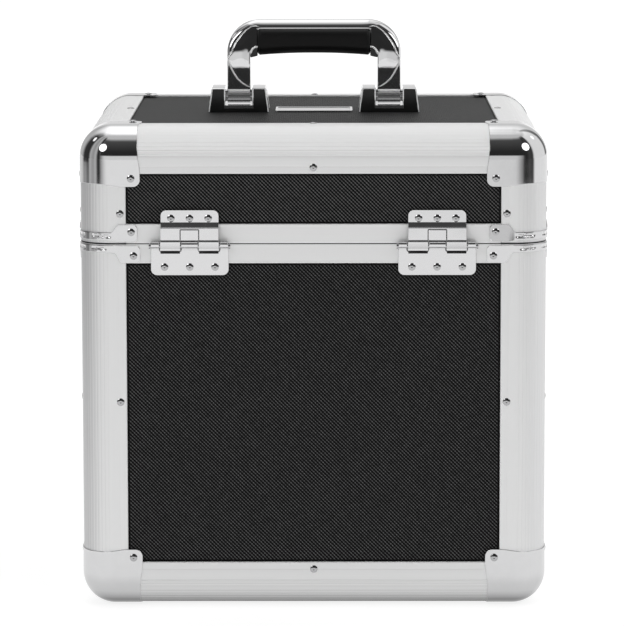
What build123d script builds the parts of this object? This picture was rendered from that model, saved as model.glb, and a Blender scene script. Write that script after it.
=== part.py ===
"""Record carrying case: aluminium-edged body and hinged lid, with a folding carrying handle.

Frame: millimetres, +Z up, origin at the bottom centre, hinge side facing -Y, latch side facing +Y.
Rest pose: lid shut, handle upright, latches closed.
"""

import os
from math import cos, radians, sin

from build123d import *

os.makedirs("parts", exist_ok=True)

# ---- driving dimensions ----
width = 360.0  # outer width over the extrusions, X
depth = 340.0  # outer depth over the extrusions, Y
top_z = 376.0  # outer top face of the lid extrusions
cap_thk = 1.15  # corner cap sheet
gap = 0.05  # assembly gap between cap sheet and extrusion
base_z = cap_thk + gap  # outer bottom face of the extrusions, so the caps touch z = 0
leg = 36.0  # extrusion leg, measured from the outer corner
corner_r = 25.0  # outer rounding of every extrusion
skin = 1.6  # outer wall of the extrusions
slot = 7.0  # panel slot
inner = 1.4  # inner wall of the extrusions
wall = skin + slot + inner
slot_end = 25.8  # the panel slot stops here, from the outer corner
panel_thk = 6.9
panel_in = skin + gap  # outer panel face, below the extrusion face
panel_end = 26.0  # panel edge, from the outer corner
seam_body = 286.0  # top of the body rim
seam_lid = 286.5  # underside of the lid rim
rim_body_z = 271.0  # lower edge of the body rim leg
rim_lid_z = 301.5  # upper edge of the lid rim leg
cap_leg = 46.5  # corner cap leg, from the extrusion's outer faces
rivet_r = 2.95  # rivet head radius
rivet_rim = 0.35  # upright rim under the rivet's dome
rivet_h = 1.2  # rivet head height
shank_r = 1.6
hole_r = 1.65
lining = 3.0

hinge_x = 95.0  # hinge and latch centres, left and right
pin_r = 1.6
pin_out = 5.0  # hinge pin axis, out from the back face
pin_z = 285.0
barrel_r = 2.7
hook_in = pin_r + 0.05
hook_out = 3.1

handle_x = 60.5  # leg centres
leg_w = 18.6
handle_top = 448.0
pivot_z = 388.5
axle_r = 3.0
bracket_d = 40.0
bracket_w = 48.4
bracket_top = 396.0
notch_w = 21.6
sill_z = 380.0

latch_p1 = (8.0, 262.0)  # lever pivot: out from the front face, height
latch_p2 = (8.0, 251.0)  # hook pivot on the lever

hx, hy = width / 2, depth / 2
in_x, in_y = hx - leg - 0.1, hy - leg - 0.1  # square-cut extrusion ends
floor_z = base_z + panel_in + panel_thk


# ---- helpers ----
def on_face(face, a, b, out=0.0):
    """A location on an outer face, its z axis pointing out of the case."""
    if face == "back":
        return Plane((a, -hy - out, b), x_dir=(1, 0, 0), z_dir=(0, -1, 0)).location
    if face == "front":
        return Plane((a, hy + out, b), x_dir=(-1, 0, 0), z_dir=(0, 1, 0)).location
    if face == "left":
        return Plane((-hx - out, a, b), x_dir=(0, -1, 0), z_dir=(-1, 0, 0)).location
    if face == "right":
        return Plane((hx + out, a, b), x_dir=(0, 1, 0), z_dir=(1, 0, 0)).location
    return Plane((a, b, top_z + out), x_dir=(1, 0, 0), z_dir=(0, 0, 1)).location


def make_rivet(out):
    """A domed blind rivet whose head sits `out` above the extrusion face."""
    rise = rivet_h - rivet_rim
    dome = (rivet_r**2 + rise**2) / (2 * rise)
    with BuildPart() as piece:
        with Locations((0, 0, rivet_h - dome)):
            Sphere(dome)
        with BuildSketch(Plane.XY):
            Circle(rivet_r)
        extrude(amount=rivet_h + 1, mode=Mode.INTERSECT)
        with BuildSketch(Plane.XY.offset(-9.9 - out)):
            Circle(shank_r)
        extrude(amount=9.9 + out)
    return piece.part


def edge_section(plane):
    """The closed hybrid edge extrusion, drawn from its outer corner inwards."""
    with BuildSketch(plane) as shape:
        with BuildLine():
            Polyline((leg, skin), (leg, 0), (corner_r, 0))
            RadiusArc((corner_r, 0), (0, corner_r), corner_r)
            Polyline((0, corner_r), (0, leg), (skin, leg), (skin, corner_r))
            RadiusArc((skin, corner_r), (corner_r, skin), -(corner_r - skin))
            Line((corner_r, skin), (leg, skin))
        make_face()
        low = skin + slot
        with Locations(((leg + low) / 2, low + inner / 2)):
            Rectangle(leg - low, inner)
        with Locations((low + inner / 2, (leg + low) / 2)):
            Rectangle(inner, leg - low)
        with Locations((slot_end - 0.7, (skin + low) / 2)):
            Rectangle(1.4, slot + 0.4)
        with Locations(((skin + low) / 2, slot_end - 0.7)):
            Rectangle(slot + 0.4, 1.4)
    return shape.sketch


def rim_section(plane, tongue):
    """Rim extrusion, x from the outer face inwards and y away from the seam."""
    tall = (seam_body - rim_body_z) if tongue else (rim_lid_z - seam_lid)
    low = skin + slot
    with BuildSketch(plane) as shape:
        with Locations((skin / 2, tall / 2)):
            Rectangle(skin, tall)
        with Locations((low + inner / 2, tall / 2)):
            Rectangle(inner, tall)
        if tongue:
            with Locations((wall / 2, 0.7)):
                Rectangle(wall, 1.4)
            with Locations((6.5, -1.4)):
                Rectangle(2.0, 3.2)
        else:
            with Locations(((5.1) / 2, 0.7)):
                Rectangle(5.1, 1.4)
            with Locations((4.5, 2.6)):
                Rectangle(1.2, 5.2)
            with Locations(((3.9 + wall) / 2, 4.5)):
                Rectangle(wall - 3.9, 1.4)
    return shape.sketch


# ---- rivet places ----
hinge_low = [sx * hinge_x + dx for sx in (-1, 1) for dx in (-19.4, 0.0, 19.4)]
hinge_up = [sx * hinge_x + dx for sx in (-1, 1) for dx in (-14.3, 0.0, 14.3)]
latch_low = [(sx * hinge_x + dx, z) for sx in (-1, 1) for dx, z in ((-12, 278), (12, 278), (0, 226))]
latch_up = [sx * hinge_x + dx for sx in (-1, 1) for dx in (-9.0, 9.0)]
cap_out = gap + cap_thk
strap_out = 1.0
leaf_out = 1.55

body_places = {0.0: [], cap_out: [], strap_out: [], leaf_out: [], 1.25: []}
lid_places = {0.0: [], cap_out: [], strap_out: [], leaf_out: [], 1.25: []}
for face in ("back", "front"):
    body_places[0.0] += [on_face(face, s * 149.0, 163.0) for s in (-1, 1)]
    body_places[0.0] += [on_face(face, 0, 31.5)]
    body_places[cap_out] += [on_face(face, s * (hx - 40), base_z + 39.5, cap_out) for s in (-1, 1)]
    body_places[strap_out] += [on_face(face, s * (hx - 41.8), 276.9, strap_out) for s in (-1, 1)]
    lid_places[0.0] += [on_face(face, s * 148.5, 309.3) for s in (-1, 1)]
    lid_places[0.0] += [on_face(face, 0, 345.0)]
    lid_places[cap_out] += [on_face(face, s * (hx - 40), top_z - 39.5, cap_out) for s in (-1, 1)]
    lid_places[strap_out] += [on_face(face, s * (hx - 40.1), 295.2, strap_out) for s in (-1, 1)]
for face in ("left", "right"):
    body_places[0.0] += [on_face(face, s * (hy - 31.0), 163.0) for s in (-1, 1)]
    body_places[0.0] += [on_face(face, 0, 31.5)]
    body_places[cap_out] += [on_face(face, s * (hy - 40), base_z + 39.5, cap_out) for s in (-1, 1)]
    body_places[strap_out] += [on_face(face, s * (hy - 41.8), 276.9, strap_out) for s in (-1, 1)]
    lid_places[0.0] += [on_face(face, s * (hy - 31.5), 309.3) for s in (-1, 1)]
    lid_places[0.0] += [on_face(face, 0, 345.0)]
    lid_places[cap_out] += [on_face(face, s * (hy - 40), top_z - 39.5, cap_out) for s in (-1, 1)]
    lid_places[strap_out] += [on_face(face, s * (hy - 40.1), 295.2, strap_out) for s in (-1, 1)]
lid_places[0.0] += [on_face("top", 0, s * (hy - 33.0)) for s in (-1, 1)]
lid_places[0.0] += [on_face("top", s * (hx - 31.5), 0) for s in (-1, 1)]
lid_places[cap_out] += [
    on_face("top", sx * (hx - 40), sy * (hy - 40), cap_out) for sx in (-1, 1) for sy in (-1, 1)
]
body_places[leaf_out] += [on_face("back", x, 268.4, leaf_out) for x in hinge_low]
lid_places[leaf_out] += [on_face("back", x, 306.0, leaf_out) for x in hinge_up]
body_places[1.25] += [on_face("front", x, z, 1.25) for x, z in latch_low]
lid_places[1.25] += [on_face("front", x, 308.0, 1.25) for x in latch_up]

body_all = [place for group in body_places.values() for place in group]
lid_all = [place for group in lid_places.values() for place in group]


def near(places, low, high):
    """The rivet places inside a box, so that only those holes are cut."""
    return [
        p
        for p in places
        if all(lo - 4 <= v <= hi + 4 for v, lo, hi in zip(tuple(p.position), low, high))
    ]


def cut_holes_of(places):
    with Locations(*places):
        Cylinder(hole_r, 26, mode=Mode.SUBTRACT)


# ---- panels ----
def face_panel(sign, z0, z1, places):
    with BuildPart() as piece:
        with BuildSketch(Plane.XY.offset(z0)):
            with Locations((0, sign * (hy - panel_in - panel_thk / 2))):
                Rectangle(2 * (hx - panel_end), panel_thk)
        extrude(amount=z1 - z0)
        cut_holes_of(near(places, (-hx, sign * hy - 3, z0), (hx, sign * hy + 3, z1)))
    return piece.part


def side_panel(sign, z0, z1, places):
    with BuildPart() as piece:
        with BuildSketch(Plane.XY.offset(z0)):
            with Locations((sign * (hx - panel_in - panel_thk / 2), 0)):
                Rectangle(panel_thk, 2 * (hy - panel_end))
        extrude(amount=z1 - z0)
        cut_holes_of(near(places, (sign * hx - 3, -hy, z0), (sign * hx + 3, hy, z1)))
    return piece.part


body_z0, body_z1 = base_z + panel_end, seam_body - 1.7
lid_z0, lid_z1 = seam_lid + 5.4, top_z - panel_end

with BuildPart() as body_back_panel:
    add(face_panel(-1, body_z0, body_z1, body_all))
body_back_panel.part.label = "body_back_panel"
export_step(body_back_panel.part, "parts/body_back_panel.step")

with BuildPart() as body_front_panel:
    add(face_panel(1, body_z0, body_z1, body_all))
body_front_panel.part.label = "body_front_panel"
export_step(body_front_panel.part, "parts/body_front_panel.step")

with BuildPart() as body_left_panel:
    add(side_panel(-1, body_z0, body_z1, body_all))
body_left_panel.part.label = "body_left_panel"
export_step(body_left_panel.part, "parts/body_left_panel.step")

with BuildPart() as body_right_panel:
    add(side_panel(1, body_z0, body_z1, body_all))
body_right_panel.part.label = "body_right_panel"
export_step(body_right_panel.part, "parts/body_right_panel.step")

with BuildPart() as base_panel:
    with BuildSketch(Plane.XY.offset(base_z + panel_in)):
        Rectangle(2 * (hx - panel_end), 2 * (hy - panel_end))
    extrude(amount=panel_thk)
base_panel.part.label = "base_panel"
export_step(base_panel.part, "parts/base_panel.step")

with BuildPart() as lid_back_panel:
    add(face_panel(-1, lid_z0, lid_z1, lid_all))
lid_back_panel.part.label = "lid_back_panel"
export_step(lid_back_panel.part, "parts/lid_back_panel.step")

with BuildPart() as lid_front_panel:
    add(face_panel(1, lid_z0, lid_z1, lid_all))
lid_front_panel.part.label = "lid_front_panel"
export_step(lid_front_panel.part, "parts/lid_front_panel.step")

with BuildPart() as lid_left_panel:
    add(side_panel(-1, lid_z0, lid_z1, lid_all))
lid_left_panel.part.label = "lid_left_panel"
export_step(lid_left_panel.part, "parts/lid_left_panel.step")

with BuildPart() as lid_right_panel:
    add(side_panel(1, lid_z0, lid_z1, lid_all))
lid_right_panel.part.label = "lid_right_panel"
export_step(lid_right_panel.part, "parts/lid_right_panel.step")

screw_places = [(sx * handle_x + dx, dy) for sx in (-1, 1) for dx in (-16, 16) for dy in (-12, 12)]
panel_top = top_z - panel_in
with BuildPart() as lid_top_panel:
    with BuildSketch(Plane.XY.offset(panel_top - panel_thk)):
        Rectangle(2 * (hx - panel_end), 2 * (hy - panel_end))
        with Locations(*screw_places):
            Circle(2.1, mode=Mode.SUBTRACT)
    extrude(amount=panel_thk)
    cut_holes_of(near(lid_all, (-hx + 12, -hy + 12, top_z - 2), (hx - 12, hy - 12, top_z + 3)))
lid_top_panel.part.label = "lid_top_panel"
export_step(lid_top_panel.part, "parts/lid_top_panel.step")

# ---- vertical corner extrusions ----
with BuildPart() as body_corner:
    extrude(edge_section(Plane((-hx, -hy, base_z + leg + 0.1), x_dir=(1, 0, 0), z_dir=(0, 0, 1))), amount=seam_body - base_z - leg - 0.1)
    cut_holes_of(near(body_all, (-hx - 3, -hy - 3, base_z), (-hx + 40, -hy + 40, seam_body)))
with BuildPart() as body_corner_pair:
    add(body_corner.part)
    mirror(body_corner.part, about=Plane.YZ)
with BuildPart() as body_corner_profiles:
    add(body_corner_pair.part)
    mirror(body_corner_pair.part, about=Plane.XZ)
body_corner_profiles.part.label = "body_corner_profiles"
export_step(body_corner_profiles.part, "parts/body_corner_profiles.step")

with BuildPart() as lid_corner:
    extrude(edge_section(Plane((-hx, -hy, seam_lid), x_dir=(1, 0, 0), z_dir=(0, 0, 1))), amount=top_z - leg - 0.1 - seam_lid)
    cut_holes_of(near(lid_all, (-hx - 3, -hy - 3, seam_lid), (-hx + 40, -hy + 40, top_z - 30)))
with BuildPart() as lid_corner_pair:
    add(lid_corner.part)
    mirror(lid_corner.part, about=Plane.YZ)
with BuildPart() as lid_corner_profiles:
    add(lid_corner_pair.part)
    mirror(lid_corner_pair.part, about=Plane.XZ)
lid_corner_profiles.part.label = "lid_corner_profiles"
export_step(lid_corner_profiles.part, "parts/lid_corner_profiles.step")

# ---- horizontal edge extrusions ----
with BuildPart() as base_edge_x:
    extrude(edge_section(Plane((-in_x, -hy, base_z), x_dir=(0, 1, 0), z_dir=(1, 0, 0))), amount=2 * in_x)
    cut_holes_of(near(body_all, (-in_x, -hy - 3, base_z), (in_x, -hy + 3, base_z + 38)))
with BuildPart() as base_edge_y:
    extrude(edge_section(Plane((-hx, -in_y, base_z), x_dir=(0, 0, 1), z_dir=(0, 1, 0))), amount=2 * in_y)
    cut_holes_of(near(body_all, (-hx - 3, -in_y, base_z), (-hx + 3, in_y, base_z + 38)))
with BuildPart() as base_edge_profiles:
    add(base_edge_x.part)
    mirror(base_edge_x.part, about=Plane.XZ)
    add(base_edge_y.part)
    mirror(base_edge_y.part, about=Plane.YZ)
base_edge_profiles.part.label = "base_edge_profiles"
export_step(base_edge_profiles.part, "parts/base_edge_profiles.step")

with BuildPart() as lid_edge_x:
    extrude(edge_section(Plane((-in_x, -hy, top_z), x_dir=(0, 0, -1), z_dir=(1, 0, 0))), amount=2 * in_x)
    cut_holes_of(near(lid_all, (-in_x, -hy - 3, top_z - 38), (in_x, -hy + 40, top_z + 3)))
with BuildPart() as lid_edge_y:
    extrude(edge_section(Plane((-hx, -in_y, top_z), x_dir=(1, 0, 0), z_dir=(0, 1, 0))), amount=2 * in_y)
    cut_holes_of(near(lid_all, (-hx - 3, -in_y, top_z - 38), (-hx + 40, in_y, top_z + 3)))
with BuildPart() as lid_edge_profiles:
    add(lid_edge_x.part)
    mirror(lid_edge_x.part, about=Plane.XZ)
    add(lid_edge_y.part)
    mirror(lid_edge_y.part, about=Plane.YZ)
lid_edge_profiles.part.label = "lid_edge_profiles"
export_step(lid_edge_profiles.part, "parts/lid_edge_profiles.step")

# ---- rim extrusions: tongue on the body, groove in the lid ----
with BuildPart() as body_rim_x:
    extrude(rim_section(Plane((-in_x, -hy, seam_body), x_dir=(0, 1, 0), z_dir=(-1, 0, 0)), True), amount=-2 * in_x)
    cut_holes_of(near(body_all, (-in_x, -hy - 3, rim_body_z), (in_x, -hy + 3, seam_body)))
with BuildPart() as body_rim_front:
    extrude(rim_section(Plane((-in_x, hy, seam_body), x_dir=(0, -1, 0), z_dir=(1, 0, 0)), True), amount=2 * in_x)
    cut_holes_of(near(body_all, (-in_x, hy - 3, rim_body_z), (in_x, hy + 3, seam_body)))
with BuildPart() as body_rim_y:
    extrude(rim_section(Plane((-hx, -in_y, seam_body), x_dir=(1, 0, 0), z_dir=(0, 1, 0)), True), amount=2 * in_y)
    cut_holes_of(near(body_all, (-hx - 3, -in_y, rim_body_z), (-hx + 3, in_y, seam_body)))
with BuildPart() as body_rim_profiles:
    add(body_rim_x.part)
    add(body_rim_front.part)
    add(body_rim_y.part)
    mirror(body_rim_y.part, about=Plane.YZ)
body_rim_profiles.part.label = "body_rim_profiles"
export_step(body_rim_profiles.part, "parts/body_rim_profiles.step")

with BuildPart() as lid_rim_x:
    extrude(rim_section(Plane((-in_x, -hy, seam_lid), x_dir=(0, 1, 0), z_dir=(1, 0, 0)), False), amount=2 * in_x)
    cut_holes_of(near(lid_all, (-in_x, -hy - 3, seam_lid), (in_x, -hy + 3, rim_lid_z)))
with BuildPart() as lid_rim_front:
    extrude(rim_section(Plane((-in_x, hy, seam_lid), x_dir=(0, -1, 0), z_dir=(-1, 0, 0)), False), amount=-2 * in_x)
    cut_holes_of(near(lid_all, (-in_x, hy - 3, seam_lid), (in_x, hy + 3, rim_lid_z)))
with BuildPart() as lid_rim_y:
    extrude(rim_section(Plane((-hx, -in_y, seam_lid), x_dir=(1, 0, 0), z_dir=(0, -1, 0)), False), amount=-2 * in_y)
    cut_holes_of(near(lid_all, (-hx - 3, -in_y, seam_lid), (-hx + 3, in_y, rim_lid_z)))
with BuildPart() as lid_rim_profiles:
    add(lid_rim_x.part)
    add(lid_rim_front.part)
    add(lid_rim_y.part)
    mirror(lid_rim_y.part, about=Plane.YZ)
lid_rim_profiles.part.label = "lid_rim_profiles"
export_step(lid_rim_profiles.part, "parts/lid_rim_profiles.step")

# ---- corner caps ----
big = 70.0
with BuildPart() as cap_inner:
    with Locations((-hx - gap, -hy - gap, top_z + gap)):
        Box(big, big, big, align=(Align.MIN, Align.MIN, Align.MAX))
    near_edges = [
        cap_inner.edges().filter_by(Axis.X).sort_by(Axis.Y)[:2].sort_by(Axis.Z)[-1],
        cap_inner.edges().filter_by(Axis.Y).sort_by(Axis.X)[:2].sort_by(Axis.Z)[-1],
        cap_inner.edges().filter_by(Axis.Z).sort_by(Axis.X)[:2].sort_by(Axis.Y)[0],
    ]
    fillet(near_edges, corner_r + gap)
with BuildPart() as lid_cap:
    with Locations((-hx - cap_out, -hy - cap_out, top_z + cap_out)):
        Box(big, big, big, align=(Align.MIN, Align.MIN, Align.MAX))
    near_edges = [
        lid_cap.edges().filter_by(Axis.X).sort_by(Axis.Y)[:2].sort_by(Axis.Z)[-1],
        lid_cap.edges().filter_by(Axis.Y).sort_by(Axis.X)[:2].sort_by(Axis.Z)[-1],
        lid_cap.edges().filter_by(Axis.Z).sort_by(Axis.X)[:2].sort_by(Axis.Y)[0],
    ]
    fillet(near_edges, corner_r + cap_out)
    add(cap_inner.part, mode=Mode.SUBTRACT)
    with Locations((-hx - cap_out, -hy - cap_out, top_z + cap_out)):
        Box(
            cap_leg + cap_out,
            cap_leg + cap_out,
            cap_leg + cap_out,
            align=(Align.MIN, Align.MIN, Align.MAX),
            mode=Mode.INTERSECT,
        )
    tabs = [e for e in lid_cap.edges().filter_by(GeomType.LINE) if abs(e.length - cap_thk) < 0.01]
    free = [
        e
        for e in tabs
        if sum(
            (
                abs(e.center().X - (-hx + cap_leg)) < 0.2,
                abs(e.center().Y - (-hy + cap_leg)) < 0.2,
                abs(e.center().Z - (top_z - cap_leg)) < 0.2,
            )
        )
        == 2
    ]
    fillet(free, 5.0)
with BuildPart() as base_cap:
    flip = Plane.XY.offset((base_z + top_z) / 2)
    mirror(lid_cap.part, about=flip)
with BuildPart() as lid_cap_cut:
    add(lid_cap.part)
    cut_holes_of(near(lid_all, (-hx - 3, -hy - 3, top_z - 45), (-hx + 45, -hy + 45, top_z + 3)))
with BuildPart() as base_cap_cut:
    add(base_cap.part)
    cut_holes_of(near(body_all, (-hx - 3, -hy - 3, 0), (-hx + 45, -hy + 45, 45)))
with BuildPart() as lid_cap_pair:
    add(lid_cap_cut.part)
    mirror(lid_cap_cut.part, about=Plane.YZ)
with BuildPart() as lid_corner_caps:
    add(lid_cap_pair.part)
    mirror(lid_cap_pair.part, about=Plane.XZ)
lid_corner_caps.part.label = "lid_corner_caps"
export_step(lid_corner_caps.part, "parts/lid_corner_caps.step")
with BuildPart() as base_cap_pair:
    add(base_cap_cut.part)
    mirror(base_cap_cut.part, about=Plane.YZ)
with BuildPart() as base_corner_caps:
    add(base_cap_pair.part)
    mirror(base_cap_pair.part, about=Plane.XZ)
base_corner_caps.part.label = "base_corner_caps"
export_step(base_corner_caps.part, "parts/base_corner_caps.step")


# ---- corner straps at the seam ----
def strap_strip(plane, start, end, out):
    """A strip that follows the rounded corner, from `start` on both faces round to the corner."""
    with BuildSketch(plane) as shape:
        with BuildLine():
            Polyline((end, -gap), (end, -out), (corner_r, -out))
            RadiusArc((corner_r, -out), (-out, corner_r), corner_r + out)
            Polyline((-out, corner_r), (-out, end), (-gap, end), (-gap, corner_r))
            RadiusArc((-gap, corner_r), (corner_r, -gap), -(corner_r + gap))
            Line((corner_r, -gap), (end, -gap))
        make_face()
    return shape.sketch


def strap(z0, z1, band0, band1, start, end, places):
    with BuildPart() as piece:
        band = strap_strip(
            Plane((-hx, -hy, band0), x_dir=(1, 0, 0), z_dir=(0, 0, 1)), start, end, strap_out
        )
        extrude(band, amount=band1 - band0)
        with BuildSketch(Plane((-hx, -hy, z0), x_dir=(1, 0, 0), z_dir=(0, 0, 1))):
            with Locations(((start + end) / 2, -(gap + strap_out) / 2)):
                Rectangle(end - start, strap_out - gap)
            with Locations((-(gap + strap_out) / 2, (start + end) / 2)):
                Rectangle(strap_out - gap, end - start)
        extrude(amount=z1 - z0)
        cut_holes_of(near(places, (-hx - 3, -hy - 3, z0), (-hx + 45, -hy + 45, z1)))
    return piece.part


body_strap = strap(271.4, 284.6, 279.2, 285.4, 32.0, 46.7, body_all)
with BuildPart() as body_strap_pair:
    add(body_strap)
    mirror(body_strap, about=Plane.YZ)
with BuildPart() as body_rim_straps:
    add(body_strap_pair.part)
    mirror(body_strap_pair.part, about=Plane.XZ)
body_rim_straps.part.label = "body_rim_straps"
export_step(body_rim_straps.part, "parts/body_rim_straps.step")

lid_strap = strap(288.0, 300.8, 289.3, 293.7, 29.8, 44.6, lid_all)
with BuildPart() as lid_strap_pair:
    add(lid_strap)
    mirror(lid_strap, about=Plane.YZ)
with BuildPart() as lid_rim_straps:
    add(lid_strap_pair.part)
    mirror(lid_strap_pair.part, about=Plane.XZ)
lid_rim_straps.part.label = "lid_rim_straps"
export_step(lid_rim_straps.part, "parts/lid_rim_straps.step")

# ---- hinges: x along the pin, y outwards from the back face (drawn at -Y), z up ----
barrels = [(-29.7, -23.2), (-6.5, 6.5), (23.2, 29.7)]
hooks = [(-22.6, -7.0), (7.0, 22.6)]
py = -hy - pin_out


def side_plane(x):
    """A plane across the hinge at x, its x axis pointing out of the back face and y up."""
    return Plane((x, -hy, 0), x_dir=(0, -1, 0), z_dir=(-1, 0, 0))


def hinge_lower(cx):
    with BuildPart() as piece:
        with BuildSketch(Plane((cx, -hy - gap, 0), x_dir=(1, 0, 0), z_dir=(0, -1, 0))):
            with Locations((0, (262.0 + 281.4) / 2)):
                Rectangle(59.8, 281.4 - 262.0)
        extrude(amount=1.5)
        fillet(
            piece.edges().filter_by(Axis.Y).group_by(Axis.Z)[0],
            4.5,
        )
        for x0, x1 in barrels:
            with BuildSketch(side_plane(cx + x1)):
                with Locations((pin_out, pin_z)):
                    Circle(barrel_r)
                with Locations(((gap + 3.4) / 2, (280.8 + 286.2) / 2)):
                    Rectangle(3.4 - gap, 286.2 - 280.8)
                with Locations((pin_out, pin_z)):
                    Circle(pin_r, mode=Mode.SUBTRACT)
            extrude(amount=x1 - x0)
        for x0, x1 in hooks:
            with Locations((cx + (x0 + x1) / 2, -hy - 1.0, 280.8)):
                Box(x1 - x0 + 1.0, 4.0, 2.4, mode=Mode.SUBTRACT)
        for x0, x1 in (barrels[0], barrels[2]):
            with Locations((cx + (x0 + x1) / 2, -hy - 2.0, 281.2)):
                Box(x1 - x0 - 2.0, 5.0, 2.0, mode=Mode.SUBTRACT)
        cut_holes_of(near(body_all, (cx - 30, -hy - 3, 262), (cx + 30, -hy + 3, 275)))
    return piece.part


with BuildPart() as hinge_lower_leaves:
    add(hinge_lower(-hinge_x))
    add(hinge_lower(hinge_x))
hinge_lower_leaves.part.label = "hinge_lower_leaves"
export_step(hinge_lower_leaves.part, "parts/hinge_lower_leaves.step")

with BuildPart() as hinge_pins:
    for cx in (-hinge_x, hinge_x):
        with BuildSketch(side_plane(cx + 30.3)):
            with Locations((pin_out, pin_z)):
                Circle(pin_r)
        extrude(amount=60.6)
        for x_end in (cx + 30.3 + 0.9, cx - 30.3):
            with BuildSketch(side_plane(x_end)):
                with Locations((pin_out, pin_z)):
                    Circle(pin_r + 0.5)
            extrude(amount=0.9)
hinge_pins.part.label = "hinge_pins"
export_step(hinge_pins.part, "parts/hinge_pins.step")

t = 1.4  # upper leaf sheet
ro = 5.2  # raised plate, out from the back face


def hinge_upper(cx):
    with BuildPart() as piece:
        # fixed plate, joggle and raised plate, drawn from the side
        with BuildSketch(side_plane(cx + 22.0)):
            with BuildLine():
                Polyline(
                    (gap, 312.2),
                    (gap, 301.9),
                    (ro, 298.4),
                    (ro, 288.9),
                    (ro + t, 288.9),
                    (ro + t, 299.4),
                    (gap + 1.5, 302.7),
                    (gap + 1.5, 312.2),
                    close=True,
                )
            make_face()
        extrude(amount=44.0)
        fillet(piece.edges().filter_by(Axis.Y).group_by(Axis.Z)[-1], 4.0)
        with Locations((cx, -hy - ro, 294.1)):
            Box(14.0, 6.0, 7.8, mode=Mode.SUBTRACT)
        # hook knuckles round the pin
        for x0, x1 in hooks:
            with BuildSketch(side_plane(cx + x1)):
                with BuildLine():
                    a0, a1 = radians(100), radians(-130)
                    mid = (a0 + a1) / 2
                    ring = lambda r, a: (pin_out + r * cos(a), pin_z + r * sin(a))
                    ThreePointArc(ring(hook_out, a0), ring(hook_out, mid), ring(hook_out, a1))
                    Line(ring(hook_out, a1), ring(hook_in, a1))
                    ThreePointArc(ring(hook_in, a1), ring(hook_in, mid), ring(hook_in, a0))
                    Line(ring(hook_in, a0), ring(hook_out, a0))
                make_face()
                with BuildLine():
                    Polyline(
                        (pin_out + 2.7, pin_z - 1.4),
                        (pin_out + 2.55, pin_z - 3.75),
                        (pin_out + 1.1, pin_z - 4.45),
                        (pin_out - 0.4, pin_z - 4.45),
                        (pin_out - 0.4, pin_z - 2.4),
                        (pin_out + 1.1, pin_z - 2.4),
                        close=True,
                    )
                make_face()
                with Locations((ro + t / 2, 288.2)):
                    Rectangle(t, 2.0)
            extrude(amount=x1 - x0)
        cut_holes_of(near(lid_all, (cx - 23, -hy - 3, 303), (cx + 23, -hy + 3, 313)))
    return piece.part


with BuildPart() as hinge_upper_leaves:
    add(hinge_upper(-hinge_x))
    add(hinge_upper(hinge_x))
hinge_upper_leaves.part.label = "hinge_upper_leaves"
export_step(hinge_upper_leaves.part, "parts/hinge_upper_leaves.step")


# ---- linings ----
def wall_lining(z0, z1):
    with BuildPart() as piece:
        with BuildSketch(Plane.XY.offset(z0)):
            for s in (-1, 1):
                with Locations((0, s * (hy - wall - gap - lining / 2))):
                    Rectangle(2 * (hx - wall - gap), lining)
                with Locations((s * (hx - wall - gap - lining / 2), 0)):
                    Rectangle(lining, 2 * (hy - wall - lining - 2 * gap))
        extrude(amount=z1 - z0)
    return piece.part


with BuildPart() as body_wall_lining:
    add(wall_lining(base_z + wall + lining + 0.3, 284.0))
body_wall_lining.part.label = "body_wall_lining"
export_step(body_wall_lining.part, "parts/body_wall_lining.step")

with BuildPart() as base_pad:
    with BuildSketch(Plane.XY.offset(base_z + wall + gap)):
        RectangleRounded(2 * (hx - wall - gap), 2 * (hy - wall - gap), 8.0)
    extrude(amount=lining)
base_pad.part.label = "base_pad"
export_step(base_pad.part, "parts/base_pad.step")

with BuildPart() as lid_wall_lining:
    add(wall_lining(289.0, 359.8))
lid_wall_lining.part.label = "lid_wall_lining"
export_step(lid_wall_lining.part, "parts/lid_wall_lining.step")

with BuildPart() as lid_top_pad:
    with BuildSketch(Plane.XY.offset(360.0)):
        RectangleRounded(2 * (hx - wall - gap), 2 * (hy - wall - gap), 8.0)
    extrude(amount=lining)
lid_top_pad.part.label = "lid_top_pad"
export_step(lid_top_pad.part, "parts/lid_top_pad.step")


# ---- handle brackets on the lid ----
def insert_points(shrink):
    """Outline of the black insert, in the plane of the bracket's face."""
    z0 = panel_top + gap
    return [
        (-bracket_w / 2 + 1.7 + shrink, z0 + 0.6 + shrink),
        (bracket_w / 2 - 1.7 - shrink, z0 + 0.6 + shrink),
        (bracket_w / 2 - 3.7 - shrink, bracket_top - 4.2 - shrink),
        (notch_w / 2 + 1.1 + shrink, bracket_top - 4.2 - shrink),
        (notch_w / 2 + 1.1 + shrink, sill_z - 1.3 - shrink),
        (-notch_w / 2 - 1.1 - shrink, sill_z - 1.3 - shrink),
        (-notch_w / 2 - 1.1 - shrink, bracket_top - 4.2 - shrink),
        (-bracket_w / 2 + 3.7 + shrink, bracket_top - 4.2 - shrink),
    ]


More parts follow.
